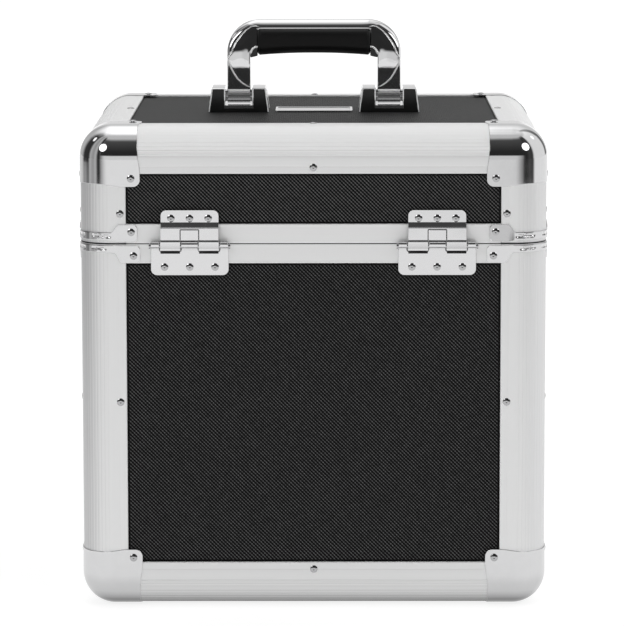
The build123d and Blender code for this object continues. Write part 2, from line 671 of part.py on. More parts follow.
def bracket(cx):
    """A cast bracket with two ears and a notch for the handle leg."""
    z0 = panel_top + gap
    with BuildPart() as piece:
        with BuildSketch(Plane((cx, bracket_d / 2, 0), x_dir=(1, 0, 0), z_dir=(0, -1, 0))):
            with BuildLine():
                Polyline(
                    (-bracket_w / 2, z0),
                    (bracket_w / 2, z0),
                    (bracket_w / 2 - 2.6, bracket_top),
                    (notch_w / 2, bracket_top),
                    (notch_w / 2, sill_z),
                    (-notch_w / 2, sill_z),
                    (-notch_w / 2, bracket_top),
                    (-bracket_w / 2 + 2.6, bracket_top),
                    close=True,
                )
            make_face()
        extrude(amount=bracket_d)
        top_edges = piece.edges().filter_by(Axis.X).group_by(Axis.Z)[-1]
        fillet(top_edges, 3.0)
        # recesses for the black inserts, both faces
        for sign in (-1, 1):
            plane = Plane(
                (cx, sign * bracket_d / 2, 0), x_dir=(-sign, 0, 0), z_dir=(0, sign, 0)
            )
            with BuildSketch(plane):
                with BuildLine():
                    Polyline(*insert_points(0.0), close=True)
                make_face()
            extrude(amount=-1.6, mode=Mode.SUBTRACT)
        # axle bore through both ears
        with Locations(Plane((cx, 0, pivot_z), z_dir=(1, 0, 0))):
            Cylinder(axle_r + 0.02, bracket_w + 2, mode=Mode.SUBTRACT)
        # screw holes
        with Locations(*[(cx + dx, dy, z0 + 4.0) for dx in (-16, 16) for dy in (-12, 12)]):
            Cylinder(2.05, 10.0, mode=Mode.SUBTRACT)
    return piece.part


def bracket_insert(cx, sign):
    with BuildPart() as piece:
        plane = Plane(
            (cx, sign * (bracket_d / 2 - 1.6), 0), x_dir=(-sign, 0, 0), z_dir=(0, sign, 0)
        )
        with BuildSketch(plane):
            with BuildLine():
                Polyline(*insert_points(0.05), close=True)
            make_face()
        extrude(amount=1.3)
    return piece.part


with BuildPart() as handle_brackets:
    add(bracket(-handle_x))
    add(bracket(handle_x))
handle_brackets.part.label = "handle_brackets"
export_step(handle_brackets.part, "parts/handle_brackets.step")

with BuildPart() as bracket_inserts:
    for cx in (-handle_x, handle_x):
        for sign in (-1, 1):
            add(bracket_insert(cx, sign))
bracket_inserts.part.label = "bracket_inserts"
export_step(bracket_inserts.part, "parts/bracket_inserts.step")

with BuildPart() as handle_axles:
    for cx in (-handle_x, handle_x):
        with Locations(Plane((cx, 0, pivot_z), z_dir=(1, 0, 0))):
            Cylinder(axle_r, bracket_w - 4.0)
handle_axles.part.label = "handle_axles"
export_step(handle_axles.part, "parts/handle_axles.step")

under = panel_top - panel_thk
with BuildPart() as handle_backing_plates:
    for cx in (-handle_x, handle_x):
        with BuildSketch(Plane.XY.offset(under - gap - 1.4)):
            with Locations((cx, 0)):
                RectangleRounded(44, 36, 4)
                with Locations(*[(dx, dy) for dx in (-16, 16) for dy in (-12, 12)]):
                    Circle(2.1, mode=Mode.SUBTRACT)
        extrude(amount=1.4)
handle_backing_plates.part.label = "handle_backing_plates"
export_step(handle_backing_plates.part, "parts/handle_backing_plates.step")

with BuildPart() as handle_screws:
    with BuildSketch(Plane.XY.offset(under - gap - 1.4 - 2.3)):
        with Locations(*screw_places):
            Circle(3.8)
            RegularPolygon(1.6, 6, mode=Mode.SUBTRACT)
    extrude(amount=1.5)
    with BuildSketch(Plane.XY.offset(under - gap - 1.4 - 0.8)):
        with Locations(*screw_places):
            Circle(3.8)
    extrude(amount=0.8)
    with BuildSketch(Plane.XY.offset(under - gap - 1.5)):
        with Locations(*screw_places):
            Circle(2.0)
    extrude(amount=1.5 + gap + panel_thk + gap + 8.0)
handle_screws.part.label = "handle_screws"
export_step(handle_screws.part, "parts/handle_screws.step")

with BuildPart() as badge_plate:
    with BuildSketch(Plane.XY.offset(panel_top + gap)):
        RectangleRounded(62.0, 38.0, 2.5)
    extrude(amount=1.2)
    fillet(badge_plate.edges().group_by(Axis.Z)[-1], 0.5)
badge_plate.part.label = "badge_plate"
export_step(badge_plate.part, "parts/badge_plate.step")

# ---- handle ----
out_x = handle_x + leg_w / 2
in_hx = handle_x - leg_w / 2
arm_half = 11.0  # fullest half depth of the arms
socket_x = 45.4  # inner face of the arms, at the ends of the grip
heel_z = 417.8  # underside of the arms' inner corner
with BuildPart() as handle_frame:
    with BuildSketch(Plane.XZ.offset(-arm_half)):
        with BuildLine():
            Polyline((-out_x, pivot_z), (-out_x, handle_top - 26.0))
            RadiusArc((-out_x, handle_top - 26.0), (-out_x + 26.0, handle_top), 26.0)
            Line((-out_x + 26.0, handle_top), (out_x - 26.0, handle_top))
            RadiusArc((out_x - 26.0, handle_top), (out_x, handle_top - 26.0), 26.0)
            Polyline(
                (out_x, handle_top - 26.0),
                (out_x, pivot_z),
                (in_hx, pivot_z),
                (in_hx, heel_z),
                (socket_x, heel_z + 1.2),
                (socket_x, handle_top - 7.5),
                (-socket_x, handle_top - 7.5),
                (-socket_x, heel_z + 1.2),
                (-in_hx, heel_z),
                (-in_hx, pivot_z),
                (-out_x, pivot_z),
            )
        make_face()
    extrude(amount=2 * arm_half)
    # seen from the side the arms are fullest at z 416 and slimmer at the foot and the bar
    with BuildSketch(Plane.YZ.offset(-out_x - 1)) as arm_side:
        with BuildLine():
            Line((-8.2, pivot_z), (-9.9, 403.5))
            ThreePointArc((-9.9, 403.5), (-arm_half, 415.8), (-10.1, 427.0))
            Polyline((-10.1, 427.0), (-6.9, 441.0), (-2.2, handle_top), (2.2, handle_top), (6.9, 441.0), (10.1, 427.0))
            ThreePointArc((10.1, 427.0), (arm_half, 415.8), (9.9, 403.5))
            Polyline((9.9, 403.5), (8.2, pivot_z), (-8.2, pivot_z))
        make_face()
    extrude(amount=2 * (out_x + 1), mode=Mode.INTERSECT)
    for cx in (-handle_x, handle_x):
        with Locations(Plane((cx, 0, pivot_z), z_dir=(1, 0, 0))):
            Cylinder(8.2, leg_w)
    for cx in (-handle_x, handle_x):
        with Locations(Plane((cx, 0, pivot_z), z_dir=(1, 0, 0))):
            Cylinder(axle_r + 0.06, leg_w + 2, mode=Mode.SUBTRACT)
handle_frame.part.label = "handle_frame"
export_step(handle_frame.part, "parts/handle_frame.step")

grip_half = 45.0
with BuildPart() as handle_grip:
    with BuildSketch(Plane.YZ.offset(-grip_half)):
        with Locations((0, handle_top - 7.6 - 9.7)):
            RectangleRounded(25.0, 19.4, 7.0)
    extrude(amount=2 * grip_half)
    fillet(handle_grip.edges().group_by(Axis.X)[0], 2.0)
    fillet(handle_grip.edges().group_by(Axis.X)[-1], 2.0)
    with Locations((0, 0, handle_top - 7.5 + 5.0)):
        Box(2 * grip_half + 4, 40, 10.0, mode=Mode.SUBTRACT)
handle_grip.part.label = "handle_grip"
export_step(handle_grip.part, "parts/handle_grip.step")

# ---- latches on the front ----
p1y, p1z = hy + latch_p1[0], latch_p1[1]
p2y, p2z = hy + latch_p2[0], latch_p2[1]


def x_cyl(cx, y, z, r, length, mode=Mode.ADD):
    with Locations(Plane((cx, y, z), z_dir=(1, 0, 0))):
        Cylinder(r, length, mode=mode)


def latch_base(cx):
    with BuildPart() as piece:
        with BuildSketch(Plane((cx, hy + gap, 0), x_dir=(-1, 0, 0), z_dir=(0, 1, 0))):
            with Locations((0, (217.0 + 284.5) / 2)):
                RectangleRounded(42.0, 284.5 - 217.0, 4.0)
        extrude(amount=1.2)
        for s in (-1, 1):
            x = cx + s * 17.4
            with BuildSketch(Plane((x - 0.6, hy, 0), x_dir=(0, 1, 0), z_dir=(1, 0, 0))):
                with BuildLine():
                    Polyline(
                        (0.6, 248.0), (7.0, 255.0), (11.6, 258.5), (11.6, 266.5), (7.0, 268.5),
                        (0.6, 272.0), close=True,
                    )
                make_face()
            extrude(amount=1.2)
            x_cyl(x, p1y, p1z, 1.5, 6.0, Mode.SUBTRACT)
        cut_holes_of(near(body_all, (cx - 21, hy - 3, 217), (cx + 21, hy + 3, 285)))
    return piece.part


with BuildPart() as latch_base_plates:
    add(latch_base(-hinge_x))
    add(latch_base(hinge_x))
latch_base_plates.part.label = "latch_base_plates"
export_step(latch_base_plates.part, "parts/latch_base_plates.step")

with BuildPart() as latch_pivot_pins:
    for cx in (-hinge_x, hinge_x):
        for s in (-1, 1):
            x_cyl(cx + s * 16.3, p1y, p1z, 1.5, 5.4)
            x_cyl(cx + s * 18.55, p1y, p1z, 2.6, 0.9)
            x_cyl(cx + s * 13.2, p1y, p1z, 2.2, 0.9)
latch_pivot_pins.part.label = "latch_pivot_pins"
export_step(latch_pivot_pins.part, "parts/latch_pivot_pins.step")


def latch_lever(cx):
    with BuildPart() as piece:
        # front plate with a lip for the finger, drawn from the side
        with BuildSketch(Plane((cx - 15.9, hy, 0), x_dir=(0, 1, 0), z_dir=(1, 0, 0))):
            with BuildLine():
                Polyline(
                    (9.0, 246.2), (9.0, 221.0), (10.4, 214.6), (11.9, 213.2), (12.8, 214.3),
                    (10.4, 221.4), (10.4, 246.2), close=True,
                )
            make_face()
        extrude(amount=31.8)
        for s in (-1, 1):
            x = cx + s * 15.4
            with BuildSketch(Plane((x - 0.5, hy, 0), x_dir=(0, 1, 0), z_dir=(1, 0, 0))):
                with BuildLine():
                    Polyline(
                        (4.6, 266.0), (11.2, 266.0), (11.2, 252.0), (10.4, 240.0), (10.4, 222.0),
                        (9.2, 222.0), (4.0, 240.0), (4.0, 250.0), close=True,
                    )
                make_face()
            extrude(amount=1.0)
            x_cyl(x, p1y, p1z, 1.56, 4.0, Mode.SUBTRACT)
            x_cyl(x, p2y, p2z, 1.5, 4.0, Mode.SUBTRACT)
        # lock barrel bore
        with Locations(Plane((cx, hy + 9.7, 231.0), z_dir=(0, 1, 0))):
            Cylinder(5.06, 6.0, mode=Mode.SUBTRACT)
    return piece.part


def latch_hook(cx):
    with BuildPart() as piece:
        with BuildSketch(Plane((cx - 11.0, hy, 0), x_dir=(0, 1, 0), z_dir=(1, 0, 0))):
            with Locations((latch_p2[0], latch_p2[1])):
                Circle(2.6)
            with BuildLine():
                Polyline(
                    (6.6, 251.0), (6.6, 300.7), (2.4, 300.7), (2.4, 302.1), (7.4, 302.1),
                    (8.0, 301.5), (8.0, 251.0), close=True,
                )
            make_face()
            with Locations((latch_p2[0], latch_p2[1])):
                Circle(1.55, mode=Mode.SUBTRACT)
        extrude(amount=22.0)
        with BuildSketch(Plane((cx, hy + 12, 0), x_dir=(-1, 0, 0), z_dir=(0, 1, 0))):
            with Locations((0, 276.0)):
                RectangleRounded(9.0, 24.0, 4.0)
        extrude(amount=-12.0, mode=Mode.SUBTRACT)
    return piece.part


def hook_pin(cx):
    with BuildPart() as piece:
        x_cyl(cx, p2y, p2z, 1.5, 31.8)
    return piece.part


def lock_barrel(cx):
    with BuildPart() as piece:
        with Locations(Plane((cx, hy + 9.6, 231.0), z_dir=(0, 1, 0))):
            Cylinder(5.0, 2.8)
        with Locations(Plane((cx, hy + 11.3, 231.0), z_dir=(0, 1, 0))):
            Cylinder(5.8, 0.6)
        with Locations(Plane((cx, hy + 7.4, 231.0), z_dir=(0, 1, 0))):
            Cylinder(3.6, 1.8)
        # cam behind the lever, upright while unlocked
        with BuildSketch(Plane((cx, hy + 6.6, 0), x_dir=(-1, 0, 0), z_dir=(0, 1, 0))):
            with Locations((0, 234.0)):
                SlotOverall(13.0, 6.0, rotation=90)
        extrude(amount=-1.4)
        with BuildSketch(Plane((cx, hy + 11.7, 0), x_dir=(-1, 0, 0), z_dir=(0, 1, 0))):
            with Locations((0, 231.0)):
                Rectangle(1.2, 5.6)
                Circle(1.1)
        extrude(amount=-1.6, mode=Mode.SUBTRACT)
    return piece.part


with BuildPart() as latch_lever_left:
    add(latch_lever(-hinge_x))
latch_lever_left.part.label = "latch_lever_left"
export_step(latch_lever_left.part, "parts/latch_lever_left.step")
with BuildPart() as latch_lever_right:
    add(latch_lever(hinge_x))
latch_lever_right.part.label = "latch_lever_right"
export_step(latch_lever_right.part, "parts/latch_lever_right.step")
with BuildPart() as latch_hook_left:
    add(latch_hook(-hinge_x))
latch_hook_left.part.label = "latch_hook_left"
export_step(latch_hook_left.part, "parts/latch_hook_left.step")
with BuildPart() as latch_hook_right:
    add(latch_hook(hinge_x))
latch_hook_right.part.label = "latch_hook_right"
export_step(latch_hook_right.part, "parts/latch_hook_right.step")
with BuildPart() as hook_pin_left:
    add(hook_pin(-hinge_x))
hook_pin_left.part.label = "hook_pin_left"
export_step(hook_pin_left.part, "parts/hook_pin_left.step")
with BuildPart() as hook_pin_right:
    add(hook_pin(hinge_x))
hook_pin_right.part.label = "hook_pin_right"
export_step(hook_pin_right.part, "parts/hook_pin_right.step")
with BuildPart() as lock_barrel_left:
    add(lock_barrel(-hinge_x))
lock_barrel_left.part.label = "lock_barrel_left"
export_step(lock_barrel_left.part, "parts/lock_barrel_left.step")
with BuildPart() as lock_barrel_right:
    add(lock_barrel(hinge_x))
lock_barrel_right.part.label = "lock_barrel_right"
export_step(lock_barrel_right.part, "parts/lock_barrel_right.step")


def strike(cx):
    with BuildPart() as piece:
        with BuildSketch(Plane((cx, hy + gap, 0), x_dir=(-1, 0, 0), z_dir=(0, 1, 0))):
            with Locations((0, (290.0 + 313.0) / 2)):
                RectangleRounded(28.0, 23.0, 3.0)
        extrude(amount=1.2)
        with Locations((cx, hy + 3.2, 299.8)):
            Box(22.0, 5.6, 1.2)
        cut_holes_of(near(lid_all, (cx - 14, hy - 3, 290), (cx + 14, hy + 3, 313)))
    return piece.part


with BuildPart() as latch_strike_plates:
    add(strike(-hinge_x))
    add(strike(hinge_x))
latch_strike_plates.part.label = "latch_strike_plates"
export_step(latch_strike_plates.part, "parts/latch_strike_plates.step")

# ---- rivets ----
rivet_kinds = {out: make_rivet(out) for out in body_places}
with BuildPart() as body_rivets:
    for out, places in body_places.items():
        if places:
            with Locations(*places):
                add(rivet_kinds[out])
body_rivets.part.label = "body_rivets"
export_step(body_rivets.part, "parts/body_rivets.step")
with BuildPart() as lid_rivets:
    for out, places in lid_places.items():
        if places:
            with Locations(*places):
                add(rivet_kinds[out])
lid_rivets.part.label = "lid_rivets"
export_step(lid_rivets.part, "parts/lid_rivets.step")
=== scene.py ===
"""Looks of the record carrying case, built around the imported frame. Lengths in the helpers are millimetres."""

import math

import bmesh
import bpy
from mathutils import Matrix, Vector
from mathutils.geometry import tessellate_polygon

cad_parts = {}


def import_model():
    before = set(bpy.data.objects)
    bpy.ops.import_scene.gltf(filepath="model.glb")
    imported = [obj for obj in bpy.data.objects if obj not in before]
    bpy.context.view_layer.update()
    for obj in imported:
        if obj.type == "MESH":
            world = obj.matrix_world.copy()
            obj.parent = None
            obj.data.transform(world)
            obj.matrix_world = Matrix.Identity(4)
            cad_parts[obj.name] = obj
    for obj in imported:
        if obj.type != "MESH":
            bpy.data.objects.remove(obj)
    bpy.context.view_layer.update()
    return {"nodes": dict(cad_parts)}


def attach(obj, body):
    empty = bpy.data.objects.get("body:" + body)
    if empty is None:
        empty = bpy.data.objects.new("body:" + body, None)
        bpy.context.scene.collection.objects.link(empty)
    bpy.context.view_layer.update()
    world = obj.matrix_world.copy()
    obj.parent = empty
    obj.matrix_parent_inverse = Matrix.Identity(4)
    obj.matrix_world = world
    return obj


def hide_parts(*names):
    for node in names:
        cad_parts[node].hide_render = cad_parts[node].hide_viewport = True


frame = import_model()
N = frame["nodes"]
sc = bpy.context.scene
MM = 0.001
rad, sin, cos, pi = math.radians, math.sin, math.cos, math.pi

# ---- camera ----
yaw, pitch, roll = -0.0040, 0.1392, -0.0013
fwd = Vector((sin(yaw) * cos(pitch), cos(yaw) * cos(pitch), -sin(pitch)))
right = Vector((cos(yaw), -sin(yaw), 0.0))
up = right.cross(fwd)
r2 = cos(roll) * right + sin(roll) * up
u2 = -sin(roll) * right + cos(roll) * up
cam_data = bpy.data.cameras.new("camera")
cam_data.lens = 217.24
cam_data.sensor_width = 36.0
cam_data.clip_start = 0.1
cam_data.clip_end = 60.0
cam = bpy.data.objects.new("camera", cam_data)
sc.collection.objects.link(cam)
cam.matrix_world = Matrix(
    (
        (r2.x, u2.x, -fwd.x, 0.01112),
        (r2.y, u2.y, -fwd.y, -3.05040),
        (r2.z, u2.z, -fwd.z, 0.63601),
        (0, 0, 0, 1),
    )
)
sc.camera = cam


# ---- mesh helpers ----
class Geo:
    def __init__(self):
        self.v, self.f = [], []

    def add(self, verts, faces):
        b = len(self.v)
        self.v.extend(verts)
        self.f.extend(tuple(b + i for i in f) for f in faces)


def smooth(t):
    t = max(0.0, min(1.0, t))
    return t * t * (3 - 2 * t)


def interp(table, x):
    """Piecewise smooth reading of a table of (x, y) pairs."""
    if x <= table[0][0]:
        return table[0][1]
    for (x0, y0), (x1, y1) in zip(table, table[1:]):
        if x <= x1:
            return y0 + (y1 - y0) * (x - x0) / (x1 - x0)
    return table[-1][1]


def make(name, g, angle=30.0, recalc=True):
    me = bpy.data.meshes.new(name)
    me.from_pydata([(x * MM, y * MM, z * MM) for x, y, z in g.v], [], g.f)
    bm = bmesh.new()
    bm.from_mesh(me)
    bmesh.ops.remove_doubles(bm, verts=bm.verts, dist=2e-7)
    bmesh.ops.dissolve_degenerate(bm, dist=2e-7, edges=bm.edges)
    if recalc:
        bmesh.ops.recalc_face_normals(bm, faces=bm.faces)
    bm.to_mesh(me)
    bm.free()
    me.polygons.foreach_set("use_smooth", [True] * len(me.polygons))
    me.set_sharp_from_angle(angle=rad(angle))
    ob = bpy.data.objects.new(name, me)
    sc.collection.objects.link(ob)
    return ob


def bevel(ob, width, segments=2, angle=35.0):
    m = ob.modifiers.new("bevel", "BEVEL")
    m.width = width * MM
    m.segments = segments
    m.limit_method = "ANGLE"
    m.angle_limit = rad(angle)
    m.use_clamp_overlap = True
    m.harden_normals = False
    return ob


def weighted(ob):
    m = ob.modifiers.new("normals", "WEIGHTED_NORMAL")
    m.keep_sharp = True
    m.weight = 60
    return ob


def solidify(ob, thickness):
    m = ob.modifiers.new("sheet", "SOLIDIFY")
    m.thickness = thickness * MM
    m.offset = -1.0
    m.use_even_offset = True
    m.use_quality_normals = True
    return ob


def prism(g, loops, place, w0, w1, skin_in=None, inset=(0.0, 0.0)):
    """Extrudes a section between w0 and w1. The first loop is the outside, the rest are holes.
    skin_in gives, for the outer loop, the inward direction used where an end is eased."""
    n = sum(len(l) for l in loops)
    rings = [(w0, 0.0), (w1, 0.0)]
    if inset[0]:
        rings = [(w0, inset[0]), (w0 + inset[0] * 1.2, 0.0)] + rings[1:]
    if inset[1]:
        rings = rings[:-1] + [(w1 - inset[1] * 1.2, 0.0), (w1, inset[1])]
    verts = []
    for w, e in rings:
        for li, l in enumerate(loops):
            for i, (u, v) in enumerate(l):
                if e and li == 0 and skin_in and skin_in[i]:
                    du, dv = skin_in[i]
                    verts.append(place(u + du * e, v + dv * e, w))
                else:
                    verts.append(place(u, v, w))
    faces = []
    for r in range(len(rings) - 1):
        k = 0
        for l in loops:
            c = len(l)
            for i in range(c):
                j = (i + 1) % c
                faces.append((r * n + k + i, r * n + k + j, (r + 1) * n + k + j, (r + 1) * n + k + i))
            k += c
    last = (len(rings) - 1) * n
    if len(loops) == 1:
        faces.append(tuple(range(n))[::-1])
        faces.append(tuple(last + i for i in range(n)))
    else:
        for t in tessellate_polygon([[Vector((u, v, 0)) for u, v in l] for l in loops]):
            faces.append(tuple(t))
            faces.append(tuple(last + i for i in t))
    g.add(verts, faces)


def loft(g, rings, ends=True):
    n = len(rings[0])
    verts = [p for r in rings for p in r]
    faces = []
    for i in range(len(rings) - 1):
        for j in range(n):
            k = (j + 1) % n
            faces.append((i * n + j, i * n + k, (i + 1) * n + k, (i + 1) * n + j))
    if ends:
        faces.append(tuple(range(n))[::-1])
        faces.append(tuple((len(rings) - 1) * n + j for j in range(n)))
    g.add(verts, faces)


def rounded(points, radii, n=6):
    """A polygon with its corners rounded; radii is one number or one per corner."""
    if not isinstance(radii, (list, tuple)):
        radii = [radii] * len(points)
    out = []
    c = len(points)
    for i, r in enumerate(radii):
        p = Vector(points[i])
        a = (Vector(points[i - 1]) - p).normalized()
        b = (Vector(points[(i + 1) % c]) - p).normalized()
        half = math.acos(max(-1, min(1, a.dot(b)))) / 2
        if r <= 0 or abs(half - pi / 2) < 1e-4:
            out.append((p.x, p.y))
            continue
        d = r / math.tan(half)
        m = p + (a + b).normalized() * (r / sin(half))
        s, e = p + a * d - m, p + b * d - m
        t0, t1 = math.atan2(s.y, s.x), math.atan2(e.y, e.x)
        dt = (t1 - t0 + pi) % (2 * pi) - pi
        for k in range(n + 1):
            t = t0 + dt * k / n
            out.append((m.x + r * cos(t), m.y + r * sin(t)))
    return out


def rect(x0, y0, x1, y1):
    return [(x0, y0), (x1, y0), (x1, y1), (x0, y1)]


def circle(cx, cy, r, n=32):
    return [(cx + r * cos(2 * pi * i / n), cy + r * sin(2 * pi * i / n)) for i in range(n)]


def boolean(ob, other, mode="DIFFERENCE"):
    m = ob.modifiers.new("cut", "BOOLEAN")
    m.operation = mode
    m.solver = "EXACT"
    m.object = other
    dg = bpy.context.evaluated_depsgraph_get()
    me = bpy.data.meshes.new_from_object(ob.evaluated_get(dg))
    ob.modifiers.clear()
    old = ob.data
    ob.data = me
    bpy.data.meshes.remove(old)
    bpy.data.objects.remove(other)
    bm = bmesh.new()
    bm.from_mesh(me)
    bmesh.ops.remove_doubles(bm, verts=bm.verts, dist=1e-6)
    bmesh.ops.dissolve_limit(bm, angle_limit=rad(0.3), verts=bm.verts, edges=bm.edges)
    bm.to_mesh(me)
    bm.free()
    me.polygons.foreach_set("use_smooth", [True] * len(me.polygons))
    me.set_sharp_from_angle(angle=rad(30))
    return ob


# ---- material helpers ----
def link(nt, a, b):
    nt.links.new(a, b)


def math_node(nt, op, *values, clamp=False):
    n = nt.nodes.new("ShaderNodeMath")
    n.operation = op
    n.use_clamp = clamp
    for i, v in enumerate(values):
        if isinstance(v, (int, float)):
            n.inputs[i].default_value = v
        else:
            link(nt, v, n.inputs[i])
    return n.outputs[0]


def noise(nt, vec, scale, detail=2.0, rough=0.5):
    n = nt.nodes.new("ShaderNodeTexNoise")
    n.inputs["Scale"].default_value = scale
    n.inputs["Detail"].default_value = detail
    n.inputs["Roughness"].default_value = rough
    link(nt, vec, n.inputs["Vector"])
    return n.outputs["Fac"]


def mapped(nt, scale):
    tc = nt.nodes.new("ShaderNodeTexCoord")
    mp = nt.nodes.new("ShaderNodeMapping")
    mp.inputs["Scale"].default_value = scale
    link(nt, tc.outputs["Object"], mp.inputs["Vector"])
    return mp.outputs["Vector"]


def ramp(nt, fac, stops, interpolation="LINEAR"):
    n = nt.nodes.new("ShaderNodeValToRGB")
    cr = n.color_ramp
    cr.interpolation = interpolation
    while len(cr.elements) < len(stops):
        cr.elements.new(0.5)
    for e, (p, c) in zip(cr.elements, stops):
        e.position = p
        e.color = (c, c, c, 1) if isinstance(c, (int, float)) else (*c, 1)
    link(nt, fac, n.inputs["Fac"])
    return n.outputs["Color"]


def remap(nt, fac, a0, a1, b0, b1):
    n = nt.nodes.new("ShaderNodeMapRange")
    for key, v in (("From Min", a0), ("From Max", a1), ("To Min", b0), ("To Max", b1)):
        n.inputs[key].default_value = v
    link(nt, fac, n.inputs["Value"])
    return n.outputs["Result"]


def bump(nt, height, distance, strength=1.0, chain=None):
    n = nt.nodes.new("ShaderNodeBump")
    n.inputs["Distance"].default_value = distance
    n.inputs["Strength"].default_value = strength
    link(nt, height, n.inputs["Height"])
    if chain is not None:
        link(nt, chain, n.inputs["Normal"])
    return n.outputs["Normal"]


def material(name):
    m = bpy.data.materials.new(name)
    m.use_nodes = True
    nt = m.node_tree
    return m, nt, nt.nodes["Principled BSDF"]


def painted_underside_shade(nt, colour):
    """Painted shade: darkens downward faces, standing in for the shade they get under the case."""
    tc = nt.nodes.new("ShaderNodeTexCoord")
    sep = nt.nodes.new("ShaderNodeSeparateXYZ")
    link(nt, tc.outputs["Normal"], sep.inputs[0])
    down = math_node(nt, "MULTIPLY", sep.outputs[2], -1.0)
    k = ramp(nt, down, [(0.0, 1.0), (0.12, 0.94), (0.25, 0.88), (0.5, 0.83), (0.6, 0.73), (0.71, 0.56), (0.8, 0.32), (1.0, 0.22)])
    n = nt.nodes.new("ShaderNodeMix")
    n.data_type = "RGBA"
    n.blend_type = "MULTIPLY"
    n.inputs["Factor"].default_value = 1.0
    link(nt, colour, n.inputs["A"])
    link(nt, k, n.inputs["B"])
    return n.outputs["Result"]


def normal_axes(nt):
    tc = nt.nodes.new("ShaderNodeTexCoord")
    sep = nt.nodes.new("ShaderNodeSeparateXYZ")
    link(nt, tc.outputs["Normal"], sep.inputs[0])
    return sep.outputs


def blend(nt, a, b, f):
    n = nt.nodes.new("ShaderNodeMix")
    n.data_type = "RGBA"
    for key, v in (("A", a), ("B", b)):
        if isinstance(v, tuple):
            n.inputs[key].default_value = (*v, 1.0)
        else:
            link(nt, v, n.inputs[key])
    link(nt, f, n.inputs["Factor"])
    return n.outputs["Result"]


def brushed(name, axis, tone=0.785, rough=0.42, spread=0.03, grain=0.000002, streak=900.0, metal=0.5, under=False, top=False, painted_side_shade=False):
    """Satin metal with fine drawing lines along one axis."""
    m, nt, b = material(name)
    scale = [1.0, 1.0, 1.0]
    scale[axis] = 0.012
    vec = mapped(nt, scale)
    fine = noise(nt, vec, streak * 2.2, 3.0, 0.6)
    broad = noise(nt, mapped(nt, [1.0 if i != axis else 0.25 for i in range(3)]), 14.0, 3.0, 0.5)
    mixed = math_node(nt, "ADD", math_node(nt, "MULTIPLY", fine, 0.5), math_node(nt, "MULTIPLY", broad, 0.5))
    colour = ramp(nt, mixed, [(0.3, (tone * 0.978, tone * 0.979, tone * 0.98)), (0.7, (tone * 1.01, tone * 1.01, tone * 1.01))])
    b.inputs["Metallic"].default_value = metal
    if under:
        colour = painted_underside_shade(nt, colour)
    if top:
        # painted light: the rolled top edge is painted paler and less metallic than the flats, for the brighter light
        # it catches
        k = ramp(nt, normal_axes(nt)[2], [(0.0, 0.0), (0.08, 0.0), (0.28, 1.0), (0.93, 1.0), (1.0, 0.55)])
        colour = blend(nt, colour, (0.95, 0.95, 0.95), k)
        link(nt, remap(nt, k, 0.0, 1.0, metal, 0.06), b.inputs["Metallic"])
    # painted shade: on the -y side, roundings turned to -x are painted darker, and those turned to +x a little darker
    if painted_side_shade:
        nx, ny, _ = normal_axes(nt)
        k = ramp(nt, math_node(nt, "MULTIPLY", nx, -1.0), [(0.0, 0.0), (0.38, 0.0), (0.62, 0.6), (0.80, 1.0), (0.95, 1.0), (0.995, 0.0)])
        k = math_node(nt, "MULTIPLY", k, math_node(nt, "LESS_THAN", ny, -0.05))
        colour = blend(nt, colour, (tone * 0.74, tone * 0.74, tone * 0.745), k)
        k = math_node(nt, "MULTIPLY", remap(nt, nx, 0.25, 0.6, 0.0, 1.0), math_node(nt, "LESS_THAN", ny, -0.05))
        colour = blend(nt, colour, (tone * 0.90, tone * 0.90, tone * 0.905), k)
    link(nt, colour, b.inputs["Base Color"])
    b.inputs["Specular IOR Level"].default_value = 0.3
    link(nt, remap(nt, mixed, 0.3, 0.7, rough - spread, rough + spread), b.inputs["Roughness"])
    link(nt, bump(nt, fine, grain, 1.0), b.inputs["Normal"])
    return m


def polished(name, tone=(0.62, 0.62, 0.625), rough=(0.035, 0.075), wave=0.000006, wave_scale=45.0, under=False):
    """Plated metal: a clear mirror with a little polishing haze and waviness."""
    m, nt, b = material(name)
    vec = mapped(nt, (1, 1, 1))
    haze = noise(nt, vec, 140.0, 4.0, 0.6)
    wear = noise(nt, vec, 900.0, 2.0, 0.6)
    both = math_node(nt, "ADD", math_node(nt, "MULTIPLY", haze, 0.7), math_node(nt, "MULTIPLY", wear, 0.3))
    link(nt, remap(nt, both, 0.35, 0.7, rough[0], rough[1]), b.inputs["Roughness"])
    colour = ramp(nt, both, [(0.3, tuple(t * 0.975 for t in tone)), (0.7, tuple(t * 1.01 for t in tone))])
    if under:
        colour = painted_underside_shade(nt, colour)
    link(nt, colour, b.inputs["Base Color"])
    b.inputs["Metallic"].default_value = 1.0
    low = noise(nt, vec, wave_scale, 1.0, 0.4)
    link(nt, bump(nt, low, wave, 1.0), b.inputs["Normal"])
    return m


